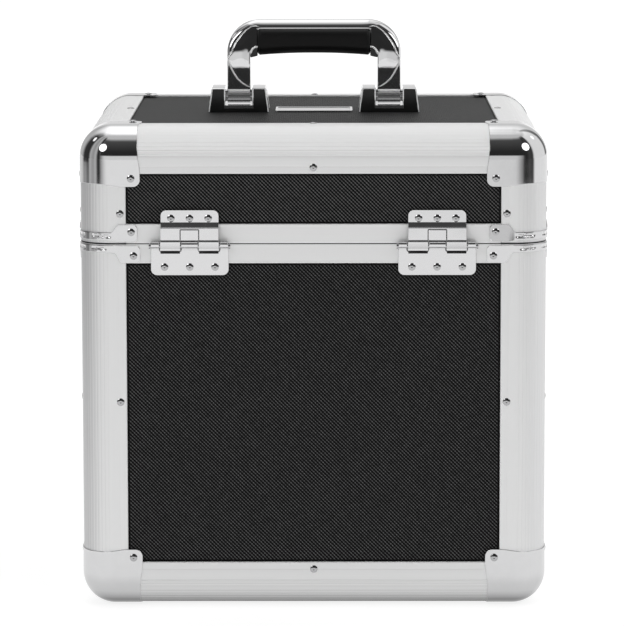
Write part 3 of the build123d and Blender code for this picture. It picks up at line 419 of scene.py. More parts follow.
def laminate(name, axes, pitch=2.92, wide=144.0, lines=(37.3, 271.0, 301.5, 339.9)):
    """Black laminate with an embossed, staggered grain of small diamonds in the plane of two axes; the diamonds are
    painted paler, a painted highlight for the light their facets catch.
    wide and lines are where metal borders it, and the strip beside that metal is painted black, a painted shade."""
    m, nt, b = material(name)
    tc = nt.nodes.new("ShaderNodeTexCoord")
    sep = nt.nodes.new("ShaderNodeSeparateXYZ")
    link(nt, tc.outputs["Object"], sep.inputs[0])
    vec = mapped(nt, (1, 1, 1))
    grit = noise(nt, vec, 2600.0, 2.0, 0.6)
    each = noise(nt, vec, 330.0, 1.0, 0.5)
    broad = noise(nt, vec, 22.0, 3.0, 0.5)
    k = 2 * pi / (pitch * MM)
    wob = math_node(nt, "MULTIPLY", math_node(nt, "SUBTRACT", broad, 0.5), 1.1)
    u = math_node(nt, "ADD", math_node(nt, "MULTIPLY", sep.outputs[axes[0]], k), wob)
    v = math_node(nt, "MULTIPLY", sep.outputs[axes[1]], k)
    p = math_node(nt, "COSINE", math_node(nt, "ADD", u, v))
    q = math_node(nt, "COSINE", math_node(nt, "SUBTRACT", u, v))
    lattice = math_node(nt, "ADD", math_node(nt, "MULTIPLY", p, 0.36), math_node(nt, "MULTIPLY_ADD", q, 0.14, 0.5))
    shape = ramp(nt, lattice, [(0.0, 0.0), (0.30, 0.02), (0.52, 0.20), (0.78, 0.74), (0.94, 1.0), (1.0, 0.97)])
    tone = math_node(nt, "MULTIPLY", shape, remap(nt, math_node(nt, "ADD", grit, each), 0.6, 1.4, 0.72, 1.22))
    # painted shade: the laminate is painted black in a strip beside the metal that borders it
    edge = math_node(nt, "SUBTRACT", wide * MM, math_node(nt, "ABSOLUTE", sep.outputs[axes[0]]))
    for z in lines:
        edge = math_node(nt, "MINIMUM", edge, math_node(nt, "ABSOLUTE", math_node(nt, "SUBTRACT", sep.outputs[axes[1]], z * MM)))
    open_ = remap(nt, edge, 0.0006, 0.0019, 0.0, 1.0)
    tone = math_node(nt, "MULTIPLY", tone, open_)
    if axes[1] == 2:
        # painted shade: the body's panels are painted darker than the lid's, for the difference in light on them
        tone = math_node(nt, "MULTIPLY", tone, remap(nt, sep.outputs[2], 0.275, 0.292, 0.87, 1.05))
    # painted highlight: the raised diamonds get a paler base colour for the light their facets catch
    link(nt, ramp(nt, tone, [(0.0, (0.0008, 0.0008, 0.0008)), (0.25, (0.009, 0.009, 0.0092)), (0.6, (0.05, 0.05, 0.0505)), (1.0, (0.115, 0.115, 0.116))]), b.inputs["Base Color"])
    link(nt, remap(nt, tone, 0.0, 1.0, 0.66, 0.5), b.inputs["Roughness"])
    b.inputs["Specular IOR Level"].default_value = 0.09
    height = math_node(nt, "ADD", shape, math_node(nt, "MULTIPLY", grit, 0.12))
    link(nt, bump(nt, height, 0.00015, 0.8), b.inputs["Normal"])
    return m


def plastic(name, tone, rough, grain=500.0, depth=0.00001, spec=0.5):
    m, nt, b = material(name)
    vec = mapped(nt, (1, 1, 1))
    fine = noise(nt, vec, grain, 3.0, 0.6)
    broad = noise(nt, vec, 45.0, 3.0, 0.5)
    both = math_node(nt, "ADD", math_node(nt, "MULTIPLY", fine, 0.5), math_node(nt, "MULTIPLY", broad, 0.5))
    link(nt, ramp(nt, both, [(0.3, (tone * 0.75,) * 3), (0.7, (tone * 1.3,) * 3)]), b.inputs["Base Color"])
    link(nt, remap(nt, both, 0.3, 0.7, rough * 0.88, rough * 1.12), b.inputs["Roughness"])
    b.inputs["Specular IOR Level"].default_value = spec
    link(nt, bump(nt, fine, depth, 1.0), b.inputs["Normal"])
    return m


def foam(name):
    m, nt, b = material(name)
    vec = mapped(nt, (1, 1, 1))
    v = nt.nodes.new("ShaderNodeTexVoronoi")
    v.inputs["Scale"].default_value = 1500.0
    link(nt, vec, v.inputs["Vector"])
    cell = v.outputs["Distance"]
    broad = noise(nt, vec, 60.0, 4.0, 0.6)
    mix = math_node(nt, "ADD", math_node(nt, "MULTIPLY", cell, 0.7), math_node(nt, "MULTIPLY", broad, 0.5))
    link(nt, ramp(nt, mix, [(0.2, (0.012, 0.012, 0.013)), (0.8, (0.045, 0.045, 0.048))]), b.inputs["Base Color"])
    link(nt, remap(nt, broad, 0.3, 0.7, 0.86, 0.96), b.inputs["Roughness"])
    b.inputs["Sheen Weight"].default_value = 0.25
    b.inputs["Specular IOR Level"].default_value = 0.25
    link(nt, bump(nt, cell, 0.0003, 0.8), b.inputs["Normal"])
    return m


alu = [brushed("aluminium_x", 0), brushed("aluminium_y", 1), brushed("aluminium_z", 2, painted_side_shade=True)]
alu_top_painted_light = [brushed("aluminium_top_x", 0, top=True), brushed("aluminium_top_y", 1, top=True)]
# under=True paints shade onto the downward faces of the base's aluminium and chrome
alu_base = [brushed("aluminium_base_x", 0, tone=0.74, under=True), brushed("aluminium_base_y", 1, tone=0.74, under=True)]
chrome = polished("chrome")
chrome_base = polished("chrome_base", under=True)
chrome_handle = polished("chrome_handle", tone=(0.66, 0.66, 0.665), rough=(0.03, 0.06), wave=0.00001, wave_scale=70.0)
# painted highlight: a white, non-metal finish for beads on the chrome, standing in for highlight lines the chrome
# catches
highlight_paint = brushed("handle_highlight_paint", 0, tone=0.98, rough=0.34, spread=0.03, metal=0.0)
steel = polished("zinc_steel", tone=(0.655, 0.655, 0.66), rough=(0.10, 0.18), wave=0.000006, wave_scale=160.0)
rivet_steel = polished("rivet_steel", tone=(0.42, 0.42, 0.425), rough=(0.08, 0.13), wave=0.0000005, wave_scale=200.0)
lam_xz = laminate("laminate_back_front", (0, 2))
lam_yz = laminate("laminate_sides", (1, 2), wide=134.0)
lam_xy = laminate("laminate_top_base", (0, 1), lines=(-134.0, 134.0))
lam_xy.node_tree.nodes["Principled BSDF"].inputs["Specular IOR Level"].default_value = 0.12
rubber = plastic("grip_rubber", 0.0055, 0.42, 1400.0, 0.00002, 0.16)
gloss_black = plastic("gloss_black", 0.006, 0.16, 300.0, 0.000004, 0.35)
badge_mat = brushed("badge_brushed", 0, tone=0.80, rough=0.32, spread=0.06, grain=0.000004, metal=0.8)
lining = foam("lining_foam")


def dress(ob, mat, body=None):
    ob.data.materials.clear()
    ob.data.materials.append(mat)
    if body:
        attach(ob, body)
    return ob


def paint(node, mat):
    o = N[node]
    if not o.data.materials:
        o.data.materials.append(mat)
    for s in o.material_slots:
        s.material = mat


# ---- the case's own numbers ----
HX, HY, TOP, BASE = 180.0, 170.0, 376.0, 1.2
LEG, RC = 36.0, 25.0
IN_X, IN_Y = HX - LEG - 0.1, HY - LEG - 0.1
SEAM_B, SEAM_L = 286.0, 286.5
RIM_B, RIM_L = 271.0, 301.5
flutes = [45.0 + 7.3 * k for k in range(-5, 6)]


def edge_outline():
    """Section of the edge extrusion from its outer corner, with the flutes in its rounding."""
    pts, inward = [], []

    def put(u, v, n=None):
        pts.append((u, v))
        inward.append(n)

    put(LEG, 1.6)
    put(LEG, 0.75, (0, 1))
    put(LEG - 0.07, 0.43, (-0.3, 1))
    put(LEG - 0.24, 0.2, (-0.3, 1))
    put(LEG - 0.48, 0.05, (-0.3, 1))
    put(LEG - 0.8, 0.0, (0, 1))
    put(RC + 5.45, 0.0, (0, 1))
    put(RC + 5.0, 0.13, (0, 1))
    put(RC + 4.55, 0.0, (0, 1))
    put(RC, 0.0, (0, 1))
    a = 0.0
    marks = []
    for f in flutes:
        marks += [(f - 0.85, 0.0), (f - 0.12, 0.17), (f + 0.12, 0.17), (f + 0.85, 0.0)]
    fill = [x * 1.0 for x in range(2, 90, 2)]
    arcs = list(marks)
    for x in fill:
        if all(abs(x - f) > 1.3 for f in flutes):
            arcs.append((float(x), 0.0))
    for ang, depth in sorted(arcs):
        t = rad(ang)
        r = RC - depth
        put(RC - r * sin(t), RC - r * cos(t), (sin(t), cos(t)))
    put(0.0, RC, (1, 0))
    put(0.0, RC + 4.55, (1, 0))
    put(0.13, RC + 5.0, (1, 0))
    put(0.0, RC + 5.45, (1, 0))
    put(0.0, LEG - 0.8, (1, 0))
    put(0.05, LEG - 0.48, (1, -0.3))
    put(0.2, LEG - 0.24, (1, -0.3))
    put(0.43, LEG - 0.07, (1, -0.3))
    put(0.75, LEG, (1, 0))
    put(1.6, LEG)
    for p in ((1.6, 25.8), (8.6, 25.8), (8.6, 36.0), (10.0, 36.0), (10.0, 10.0), (36.0, 10.0), (36.0, 8.6), (25.8, 8.6), (25.8, 1.6)):
        put(*p)
    hole = [(24.4, 8.6)]
    hole += [(24.4, 1.6)]
    for x in range(0, 91, 5):
        t = rad(x)
        hole.append((RC - (RC - 1.6) * sin(t), RC - (RC - 1.6) * cos(t)))
    hole = [p for p in hole if p[0] < 24.41 or p[1] > 8.0]
    hole += [(1.6, 24.4), (8.6, 24.4), (8.6, 8.6)]
    clean = []
    for p in hole:
        if not clean or (abs(p[0] - clean[-1][0]) + abs(p[1] - clean[-1][1])) > 0.05:
            clean.append(p)
    return pts, inward, clean


E_PTS, E_IN, E_HOLE = edge_outline()


def edge_run(g, origin, U, V, W, w0, w1, inset=(0.0, 0.0)):
    O, U, V, W = Vector(origin), Vector(U), Vector(V), Vector(W)
    prism(g, [E_PTS, E_HOLE], lambda u, v, w: tuple(O + U * u + V * v + W * w), w0, w1, E_IN, inset)


def rim_outline(tongue):
    """Rim section: u from the outer face inwards, v away from the seam."""
    h = SEAM_B - RIM_B if tongue else RIM_L - SEAM_L
    face = [(0.75, h), (0.43, h - 0.07), (0.2, h - 0.24), (0.05, h - 0.48), (0.0, h - 0.8)]
    for c in (h - 2.3, 2.6):
        face += [(0.0, c + 0.42), (0.11, c), (0.0, c - 0.42)]
    face += [(0.0, 0.45), (0.13, 0.13), (0.45, 0.0)]
    if tongue:
        rest = [(5.5, 0.0), (5.5, -2.6), (5.9, -3.0), (7.1, -3.0), (7.5, -2.6), (7.5, 0.0), (10.0, 0.0), (10.0, h), (8.6, h), (8.6, 1.4), (1.6, 1.4), (1.6, h)]
    else:
        rest = [(5.1, 0.0), (5.1, 3.8), (10.0, 3.8), (10.0, h), (8.6, h), (8.6, 5.2), (3.9, 5.2), (3.9, 1.4), (1.6, 1.4), (1.6, h)]
    return face + rest


def rim_run(g, origin, U, V, W, w0, w1, tongue):
    O, U, V, W = Vector(origin), Vector(U), Vector(V), Vector(W)
    prism(g, [rim_outline(tongue)], lambda u, v, w: tuple(O + U * u + V * v + W * w), w0, w1)


# ---- extrusions ----
def corners():
    for sx in (-1, 1):
        for sy in (-1, 1):
            yield sx, sy


for name, node, z0, z1, inset in (
    ("body_corner_extrusions", "body_corner_profiles", BASE + LEG + 0.1, SEAM_B, (0.0, 0.5)),
    ("lid_corner_extrusions", "lid_corner_profiles", SEAM_L, TOP - LEG - 0.1, (0.5, 0.0)),
):
    g = Geo()
    for sx, sy in corners():
        edge_run(g, (sx * HX, sy * HY, 0), (-sx, 0, 0), (0, -sy, 0), (0, 0, 1), z0, z1, inset)
    ob = weighted(make(name, g))
    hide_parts(node)
    dress(ob, alu[2], "case_body" if "body" in name else "lid")

for name, node, z, dz, body in (
    ("base_edge_extrusions", "base_edge_profiles", BASE, 1, "case_body"),
    ("lid_edge_extrusions", "lid_edge_profiles", TOP, -1, "lid"),
):
    g, gy = Geo(), Geo()
    for s in (-1, 1):
        edge_run(g, (0, s * HY, z), (0, -s, 0), (0, 0, dz), (1, 0, 0), -IN_X, IN_X)
        edge_run(gy, (s * HX, 0, z), (-s, 0, 0), (0, 0, dz), (0, 1, 0), -IN_Y, IN_Y)
    for part, axis, tag in ((g, 0, "x"), (gy, 1, "y")):
        ob = weighted(make(f"{name}_{tag}", part))
        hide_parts(node)
        dress(ob, alu_base[axis] if body == "case_body" else alu_top_painted_light[axis], body)

for name, node, z, dz, tongue, body in (
    ("body_rim_extrusions", "body_rim_profiles", SEAM_B, -1, True, "case_body"),
    ("lid_rim_extrusions", "lid_rim_profiles", SEAM_L, 1, False, "lid"),
):
    g, gy = Geo(), Geo()
    for s in (-1, 1):
        rim_run(g, (0, s * HY, z), (0, -s, 0), (0, 0, dz), (1, 0, 0), -IN_X, IN_X, tongue)
        rim_run(gy, (s * HX, 0, z), (-s, 0, 0), (0, 0, dz), (0, 1, 0), -IN_Y, IN_Y, tongue)
    for part, axis, tag in ((g, 0, "x"), (gy, 1, "y")):
        ob = weighted(make(f"{name}_{tag}", part))
        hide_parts(node)
        dress(ob, alu[axis], body)


# ---- black strip in the seam, a painted shadow line, fuller where it passes round the corners ----
def seam_path():
    """Places round the case at its outer face: point, outward direction, in a corner or not."""
    out = []
    for q in range(4):
        a0 = 90.0 * q
        cx = (HX - RC) * (1 if q in (0, 3) else -1)
        cy = (HY - RC) * (1 if q in (0, 1) else -1)
        arc = [(cx + RC * cos(rad(a0 + 90 * i / 16)), cy + RC * sin(rad(a0 + 90 * i / 16)), rad(a0 + 90 * i / 16)) for i in range(17)]
        lead, tail = arc[0], arc[-1]
        reach = 35.9 - RC
        for k, full in ((reach + 0.3, 0.0), (reach, 1.0)):
            out.append((lead[0] + k * sin(lead[2]), lead[1] - k * cos(lead[2]), lead[2], full))
        out += [(x, y, a, 1.0) for x, y, a in arc]
        for k, full in ((reach, 1.0), (reach + 0.3, 0.0)):
            out.append((tail[0] - k * sin(tail[2]), tail[1] + k * cos(tail[2]), tail[2], full))
    return out


thin = [(0.18, 285.93), (0.18, 286.57), (0.52, 286.46), (3.0, 286.46), (3.0, 286.04), (0.52, 286.04)]
fullr = [(0.15, 285.80), (0.15, 286.70), (0.56, 286.46), (3.0, 286.46), (3.0, 286.04), (0.56, 286.04)]
verts, faces = [], []
path = seam_path()
for x, y, a, f in path:
    for (u0, z0), (u1, z1) in zip(thin, fullr):
        u, z = u0 + (u1 - u0) * f, z0 + (z1 - z0) * f
        verts.append((x - u * cos(a), y - u * sin(a), z))
n = len(thin)
for i in range(len(path)):
    j = (i + 1) % len(path)
    for k in range(n):
        m = (k + 1) % n
        faces.append((i * n + k, j * n + k, j * n + m, i * n + m))
g = Geo()
g.add(verts, faces)
dress(make("seam_shadow_strip", g), rubber, "lid")


# ---- corner caps ----
WAIST = [(0, 2.1), (10, 2.0), (14, 1.8), (18, 1.45), (21.5, 1.05), (25.2, 0.42), (29, 0.0)]
CAP_LEGS = (47.0, 46.5, 45.9)


def cap_surface(g, sx, sy, sz, z_face):
    """One pressed corner cap, outer skin only. sx, sy, sz point out of the case."""
    R, n = 25.7, 10
    round_part = [R * math.tan(rad(45.0 * i / n)) for i in range(1, n + 1)]
    flat_part = [-12.0, -9.0, -6.0, -3.0, 0.0]
    centre = Vector((sx * (HX - RC), sy * (HY - RC), z_face - sz * RC))

    def pull(t):
        """How far the cap's edge draws in, by the place along that edge."""
        s = t if t < 0 else R * math.atan2(t, R)
        return interp(WAIST, abs(s - R * pi / 4))

    def point(p, q, ep, eq):
        c = Vector((min(p, 0), min(q, 0), 0))
        d = Vector((max(p, 0), max(q, 0), R))
        if p <= -ep + 1e-6:
            c.x += pull(q)
        if q <= -eq + 1e-6:
            c.y += pull(p)
        return c + d.normalized() * R

    perms = ((0, 1, 2), (1, 2, 0), (2, 0, 1))
    S = (sx, sy, sz)
    for perm in perms:
        def world(l):
            v = [0.0, 0.0, 0.0]
            for i, k in enumerate(perm):
                v[k] = l[i] * S[k]
            return centre + Vector(v)

        quads = []
        ep, eq = CAP_LEGS[perm[0]] - RC, CAP_LEGS[perm[1]] - RC
        PP = [-ep] + flat_part + round_part
        PQ = [-eq] + flat_part + round_part
        m = len(PP)
        for i in range(m - 1):
            for j in range(m - 1):
                if i == 0 and j == 0:
                    r = 5.4
                    flat = [(-12.0, -12.0, R), (-12.0, -eq, R)]
                    flat += [(-ep + r - r * sin(t), -eq + r - r * cos(t), R) for t in [rad(90 * k / 10) for k in range(11)]]
                    flat += [(-ep, -12.0, R)]
                    quads.append([world(Vector(v)) for v in flat])
                    continue
                quads.append([world(point(PP[a], PQ[b], ep, eq)) for a, b in ((i, j), (i + 1, j), (i + 1, j + 1), (i, j + 1))])
        for q in quads:
            mid = sum(q, Vector()) / len(q)
            nrm = (q[1] - q[0]).cross(q[2] - q[0])
            if nrm.length < 1e-9:
                nrm = (q[2] - q[0]).cross(q[3] - q[0])
            if nrm.dot(mid - centre) < 0:
                q.reverse()
            g.add([tuple(v) for v in q], [tuple(range(len(q)))])


for name, node, zf, sz, body in (
    ("base_cap_shells", "base_corner_caps", BASE, -1, "case_body"),
    ("lid_cap_shells", "lid_corner_caps", TOP, 1, "lid"),
):
    g = Geo()
    for sx, sy in corners():
        cap_surface(g, sx, sy, sz, zf)
    ob = make(name, g, angle=35, recalc=False)
    solidify(ob, 0.66)
    bevel(ob, 0.3, 3, 50)
    weighted(ob)
    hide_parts(node)
    dress(ob, chrome_base if body == "case_body" else chrome, body)


# ---- corner straps at the seam ----
def strap_surface(g, sx, sy, lid):
    """A pressed strap: a plate on each face and a narrower band round the corner."""
    if lid:
        z0, z1, b0, b1, inner, outer = 288.0, 300.8, 289.0, 294.8, 29.8, 44.6
        dents = [(0.01, 0.40, 292.3, 1.35, 0.75), (0.60, 0.99, 292.3, 1.35, 0.75)]
    else:
        z0, z1, b0, b1, inner, outer = 271.4, 284.6, 279.6, 285.0, 32.0, 46.7
        dents = [(0.10, 0.42, 282.6, 1.15, 0.65), (0.58, 0.90, 282.6, 1.15, 0.65)]
    rise = 1.0
    arc = (RC + rise) * pi / 2
    flat = outer - RC
    cols = []
    for i in range(0, 8):
        cols.append(("f", outer - 2.6 * (1 - cos(rad(90 * i / 7)))))
    u = outer - 3.4
    while u > RC + 0.5:
        cols.append(("f", u))
        u -= 1.1
    for i in range(0, 49):
        cols.append(("a", i / 48))
    other = [("g", c[1]) for c in cols if c[0] == "f"][::-1]
    cols += other
    rows = 12
    corner = Vector((sx * HX, sy * HY, 0))
    grid = []
    for kind, t in cols:
        if kind == "a":
            k, ang = 0.0, t * 90.0
        else:
            k, ang = t, (0.0 if kind == "f" else 90.0)
        # vertical extent of the strap at this column
        if kind == "a":
            mix = 0.0
        else:
            mix = smooth((t - (inner - 5.5)) / 6.5)
        lo = b0 + (z0 - b0) * mix
        hi = b1 + (z1 - b1) * mix
        if kind != "a":
            r = 2.6
            e = outer - t
            if e < r:
                cut = r - math.sqrt(max(0.0, r * r - (r - e) ** 2))
                lo += cut
                hi -= cut
        column = []
        for j in range(rows + 1):
            z = lo + (hi - lo) * j / rows
            out = rise
            if lid and kind != "a" and mix > 0.2:
                out += 0.75 * mix * (1 - (z - z0) / (z1 - z0)) * (1.0 if kind == "f" else 0.4) * (1.0 if sx > 0 else 0.25)
            if kind == "a":
                for a0, a1, zc, half, depth in dents:
                    slope = (t - (a0 + a1) / 2) * 4.5 * (1 if a0 < 0.3 else -1)
                    across = 1 - ((z - zc - slope * 0.35) / half) ** 2
                    along = smooth((t - a0) / 0.05) * smooth((a1 - t) / 0.05)
                    if across > 0:
                        out -= depth * along * smooth(across * 1.4)
            if kind == "f":
                p = (k, -out)
            elif kind == "g":
                p = (-out, k)
            else:
                a = rad(ang)
                p = (RC - (RC + out) * sin(a), RC - (RC + out) * cos(a))
            column.append(corner + Vector((-sx * p[0], -sy * p[1], z)))
        grid.append(column)
    verts = [tuple(v) for c in grid for v in c]
    w = rows + 1
    faces = []
    centre = corner + Vector((-sx * RC, -sy * RC, (z0 + z1) / 2))
    for i in range(len(grid) - 1):
        for j in range(rows):
            f = [i * w + j, (i + 1) * w + j, (i + 1) * w + j + 1, i * w + j + 1]
            a, b, c = (Vector(verts[f[0]]), Vector(verts[f[1]]), Vector(verts[f[3]]))
            nrm = (b - a).cross(c - a)
            out_dir = a - centre
            out_dir.z = 0
            if cols[i][0] == "f":
                out_dir = Vector((0, sy, 0))
            elif cols[i][0] == "g":
                out_dir = Vector((sx, 0, 0))
            if nrm.dot(out_dir) < 0:
                f.reverse()
            faces.append(tuple(f))
    g.add(verts, faces)


for name, node, lid, body in (
    ("body_strap_shells", "body_rim_straps", False, "case_body"),
    ("lid_strap_shells", "lid_rim_straps", True, "lid"),
):
    g = Geo()
    for sx, sy in corners():
        strap_surface(g, sx, sy, lid)
    ob = make(name, g, angle=40, recalc=False)
    solidify(ob, 0.9)
    bevel(ob, 0.22, 2, 50)
    weighted(ob)
    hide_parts(node)
    dress(ob, chrome, body)

# ---- hinges ----
PIN_O, PIN_Z = 5.0, 285.0
BARRELS = [(-29.7, -23.2), (-6.5, 6.5), (23.2, 29.7)]
HOOKS = [(-22.6, -7.0), (7.0, 22.6)]


def on_back(cx):
    """Places (x, z, out) on the back face."""
    return lambda x, z, o: (cx + x, -HY - o, z)


def across_back(x_origin):
    """Places (out, z, x) sections that run along X."""
    return lambda o, z, x: (x_origin + x, -HY - o, z)


def ring_arc(r, a0, a1, n, c=(PIN_O, PIN_Z)):
    return [(c[0] + r * cos(rad(a0 + (a1 - a0) * i / n)), c[1] + r * sin(rad(a0 + (a1 - a0) * i / n))) for i in range(n + 1)]


lower = []
for cx in (-95.0, 95.0):
    side = "left" if cx < 0 else "right"
    g = Geo()
    outline = [(-29.9, 262.0), (29.9, 262.0), (29.9, 283.0), (23.0, 283.0), (23.0, 280.6), (6.7, 280.6), (6.7, 283.0), (-6.7, 283.0), (-6.7, 280.6), (-23.0, 280.6), (-23.0, 283.0), (-29.9, 283.0)]
    plate = rounded(outline, [4.8, 4.8, 0.7, 0.7, 0.5, 0.5, 0.7, 0.7, 0.5, 0.5, 0.7, 0.7], 8)
    prism(g, [plate], on_back(cx), 0.05, 1.55)
    ob = make(f"hinge_lower_plate_{side}", g)
    bevel(ob, 0.34, 3, 50)
    weighted(ob)
    lower.append(ob)
    g = Geo()
    for x0, x1 in BARRELS:
        sec = [(0.05, 281.6), (0.05, 286.6), (1.0, 287.7), (4.4, 288.55)]
        sec += [(5.6 + 2.4 * cos(rad(a)), 286.2 + 2.4 * sin(rad(a))) for a in range(88, -1, -4)]
        sec += [(7.5 + 0.5 * cos(rad(a)), 285.0 + 0.5 * sin(rad(a))) for a in (0, -30, -60, -90)]
        sec += [(2.55, 284.5), (2.55, 283.9), (2.78, 283.15), (1.62, 281.45), (1.2, 281.1)]
        prism(g, [sec], across_back(cx), x0 + 0.1, x1 - 0.1)
    ob = make(f"hinge_barrels_{side}", g)
    bevel(ob, 0.3, 2, 60)
    weighted(ob)
    lower.append(ob)
    # black strips under the hooks and behind the foot of the barrels, painted shadow where the leaves overhang
    g = Geo()
    for x0, x1 in BARRELS:
        prism(g, [[(0.9, 283.0), (2.7, 283.0), (2.95, 283.2), (2.95, 284.2), (2.7, 284.4), (0.9, 284.4)]], across_back(cx), x0 + 0.35, x1 - 0.35)
    for x0, x1 in HOOKS:
        prism(g, [[(0.9, 279.35), (6.9, 279.35), (7.4, 279.7), (7.4, 280.6), (6.9, 281.0), (0.9, 281.0)]], across_back(cx), x0 + 0.3, x1 - 0.3)
    ob = make(f"hinge_shadow_strips_{side}", g)
    bevel(ob, 0.25, 2, 50)
    dress(ob, gloss_black, "case_body")
for ob in lower:
    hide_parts("hinge_lower_leaves")
    dress(ob, steel, "case_body")

upper = []
T_UP, RO = 1.4, 5.2
for cx in (-95.0, 95.0):
    side = "left" if cx < 0 else "right"
    g = Geo()
    inner_line = [(0.05, 312.2), (0.05, 302.9), (1.75, 298.95), (RO, 298.1), (RO, 289.6)]
    outer_line = [(RO + T_UP, 289.6), (RO + T_UP, 298.7), (6.5, 298.95), (6.25, 299.1), (3.2, 299.3), (1.6, 302.7), (1.55, 303.0), (1.55, 312.2)]
    prism(g, [inner_line + outer_line], across_back(cx), -22.2, 22.2)
    ob = make(f"hinge_upper_leaf_{side}", g)
    k = Geo()
    prism(k, [rounded(rect(-22.2, 280.0, 22.2, 312.2), [0.0, 0.0, 4.2, 4.2], 8)], on_back(cx), -2.0, 12.0)
    boolean(ob, make("tool", k), "INTERSECT")
    k = Geo()
    prism(k, [rounded(rect(-7.5, 287.0, 7.5, 298.15), [0.0, 0.0, 0.9, 0.9], 5)], on_back(cx), 4.9, 9.0)
    boolean(ob, make("tool", k))
    bevel(ob, 0.5, 3, 50)
    weighted(ob)
    upper.append(ob)
    g = Geo()
    prism(g, [rounded(rect(-6.95, 289.35, 6.95, 297.6), 0.7, 5)], on_back(cx), 4.85, 6.25)
    ob = make(f"hinge_tongue_{side}", g)
    bevel(ob, 0.35, 3, 50)
    weighted(ob)
    upper.append(ob)
    # black backing behind the gap round each tongue, painted shadow in that gap
    g = Geo()
    prism(g, [rect(-8.6, 289.8, 8.6, 298.0)], on_back(cx), 3.9, 4.83)
    ob = make(f"hinge_shim_{side}", g)
    bevel(ob, 0.2, 2, 50)
    dress(ob, gloss_black, "lid")
    g = Geo()
    for x0, x1 in HOOKS:
        sec = [(RO, 289.9), (RO + T_UP, 289.9), (6.6, 289.5), (7.15, 288.45), (7.7, 288.3), (7.9, 288.1), (7.9, 284.2), (8.1, 283.75), (8.1, 282.3), (7.95, 281.75), (7.5, 281.4), (4.6, 281.35), (4.6, 283.0)]
        sec += ring_arc(1.75, -90, 96, 16)
        sec += [(PIN_O - 0.2, 288.0)]
        prism(g, [sec], across_back(cx), x0, x1)
    ob = make(f"hinge_hooks_{side}", g)
    bevel(ob, 0.22, 2, 50)
    weighted(ob)
    upper.append(ob)
for ob in upper:
    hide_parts("hinge_upper_leaves")
    dress(ob, steel, "lid")

# ---- handle ----
HXC, LW, H_TOP, PIV = 60.5, 18.6, 448.0, 388.5
OUT_X, IN_HX = HXC + LW / 2, HXC - LW / 2


def half_depth(z):
    """Front of the handle arm, out from its middle plane: a shallow barrel, fullest at z 416."""
    if z > 427:
        return 11.0 - 11.2**2 / 135 - 0.215 * (z - 427)
    if z < 404:
        return 11.0 - 11.8**2 / 135 - 0.13 * (404 - z)
    return 11.0 - (z - 415.8) ** 2 / 135


def facet_depth(z):
    """The plainer outer facet of the leg, which leans back below the bright curved line."""
    if z > 416.5:
        return half_depth(z)
    return 10.99 - 0.15 * (416.5 - z)


SWAY = [(0, -0.6), (2, 0.2), (4.3, 0.7), (7, -0.4), (9.5, -1.9), (11.6, -2.5), (13.6, -1.5), (15.6, 0.8), (18.6, 3.2)]


def sway(p, d):
    """A slight unevenness in the plating's surface, which makes reflections run in soft waves."""
    k = interp(SWAY, d) / 67.5
    up = 6.5 * smooth((p.y - 409.5) / 13.0) * smooth((436 - p.y) / 9.0)
    fine = 0.012 * sin(p.y * 0.9 + d * 0.55) * sin(d * 0.45 + 0.7)
    return -k * up + fine * smooth((p.y - 396) / 6)


leaf = [(388, 18.6), (393.6, 18.6), (394.1, 17.6), (395.6, 14.6), (397.8, 11.4), (401, 8.0), (405.8, 5.0), (411, 2.5), (415, 1.0), (417.3, 0.5), (418.6, 1.2), (420.0, 2.4), (424, 4.3), (428.7, 5.9), (440, 6.0)]
GRIP_X = 45.35

stations = []
z = 389.6
while z < 420.2:
    stations.append(((-OUT_X, z), (-IN_HX, z), 0.0, z))
    z += 0.75
for i in range(0, 41):
    a = 90.0 * i / 40
    o = (-OUT_X + 26.0 - 26.0 * cos(rad(a)), 422.0 + 26.0 * sin(rad(a)))
    if a < 22:
        t = 90.0 * a / 22
        q = (-GRIP_X - 5.9 * cos(rad(t)), 420.3 + 5.6 * sin(rad(t)))
    elif a < 64:
        q = (-GRIP_X, 425.9 + 14.6 * (a - 22) / 42)
    else:
        q = (-GRIP_X + 2.6 * (a - 64) / 26, 440.5)
    stations.append((o, q, a / 90.0, o[1]))
for i in range(1, 13):
    f = i / 12
    stations.append(((-43.8 * (1 - f), H_TOP), (-42.75 * (1 - f), H_TOP - 7.5), 1.0 + f, H_TOP))

G_OUT = [0, 0.008, 0.025, 0.055, 0.1, 0.16, 0.235, 0.325, 0.43, 0.55, 0.68, 0.82, 0.92, 1.0]
G_STEP = [0.12, 0.3, 0.5, 0.7, 0.88, 1.0]
G_IN = [0.12, 0.26, 0.4, 0.54, 0.67, 0.78, 0.87, 0.93, 0.97, 0.99, 1.0]


def skin_depth(p, d, dr, ro, e, ri, lift):
    """Depth of the arm's front skin at a point: d from the outer edge, e from the inner edge."""
    y = facet_depth(p.y) + (half_depth(p.y) - facet_depth(p.y)) * smooth((d - dr) / 0.8)
    y += sway(p, d) * smooth((d - 0.8) / 2.5) * smooth(e / 2.0)
    if d < ro:
        y -= ro - math.sqrt(max(0.0, ro * ro - (ro - d) ** 2))
    if e < ri:
        y -= ri - math.sqrt(max(0.0, ri * ri - (ri - e) ** 2))
    return y + lift * smooth((d - dr) / 1.0) - lift


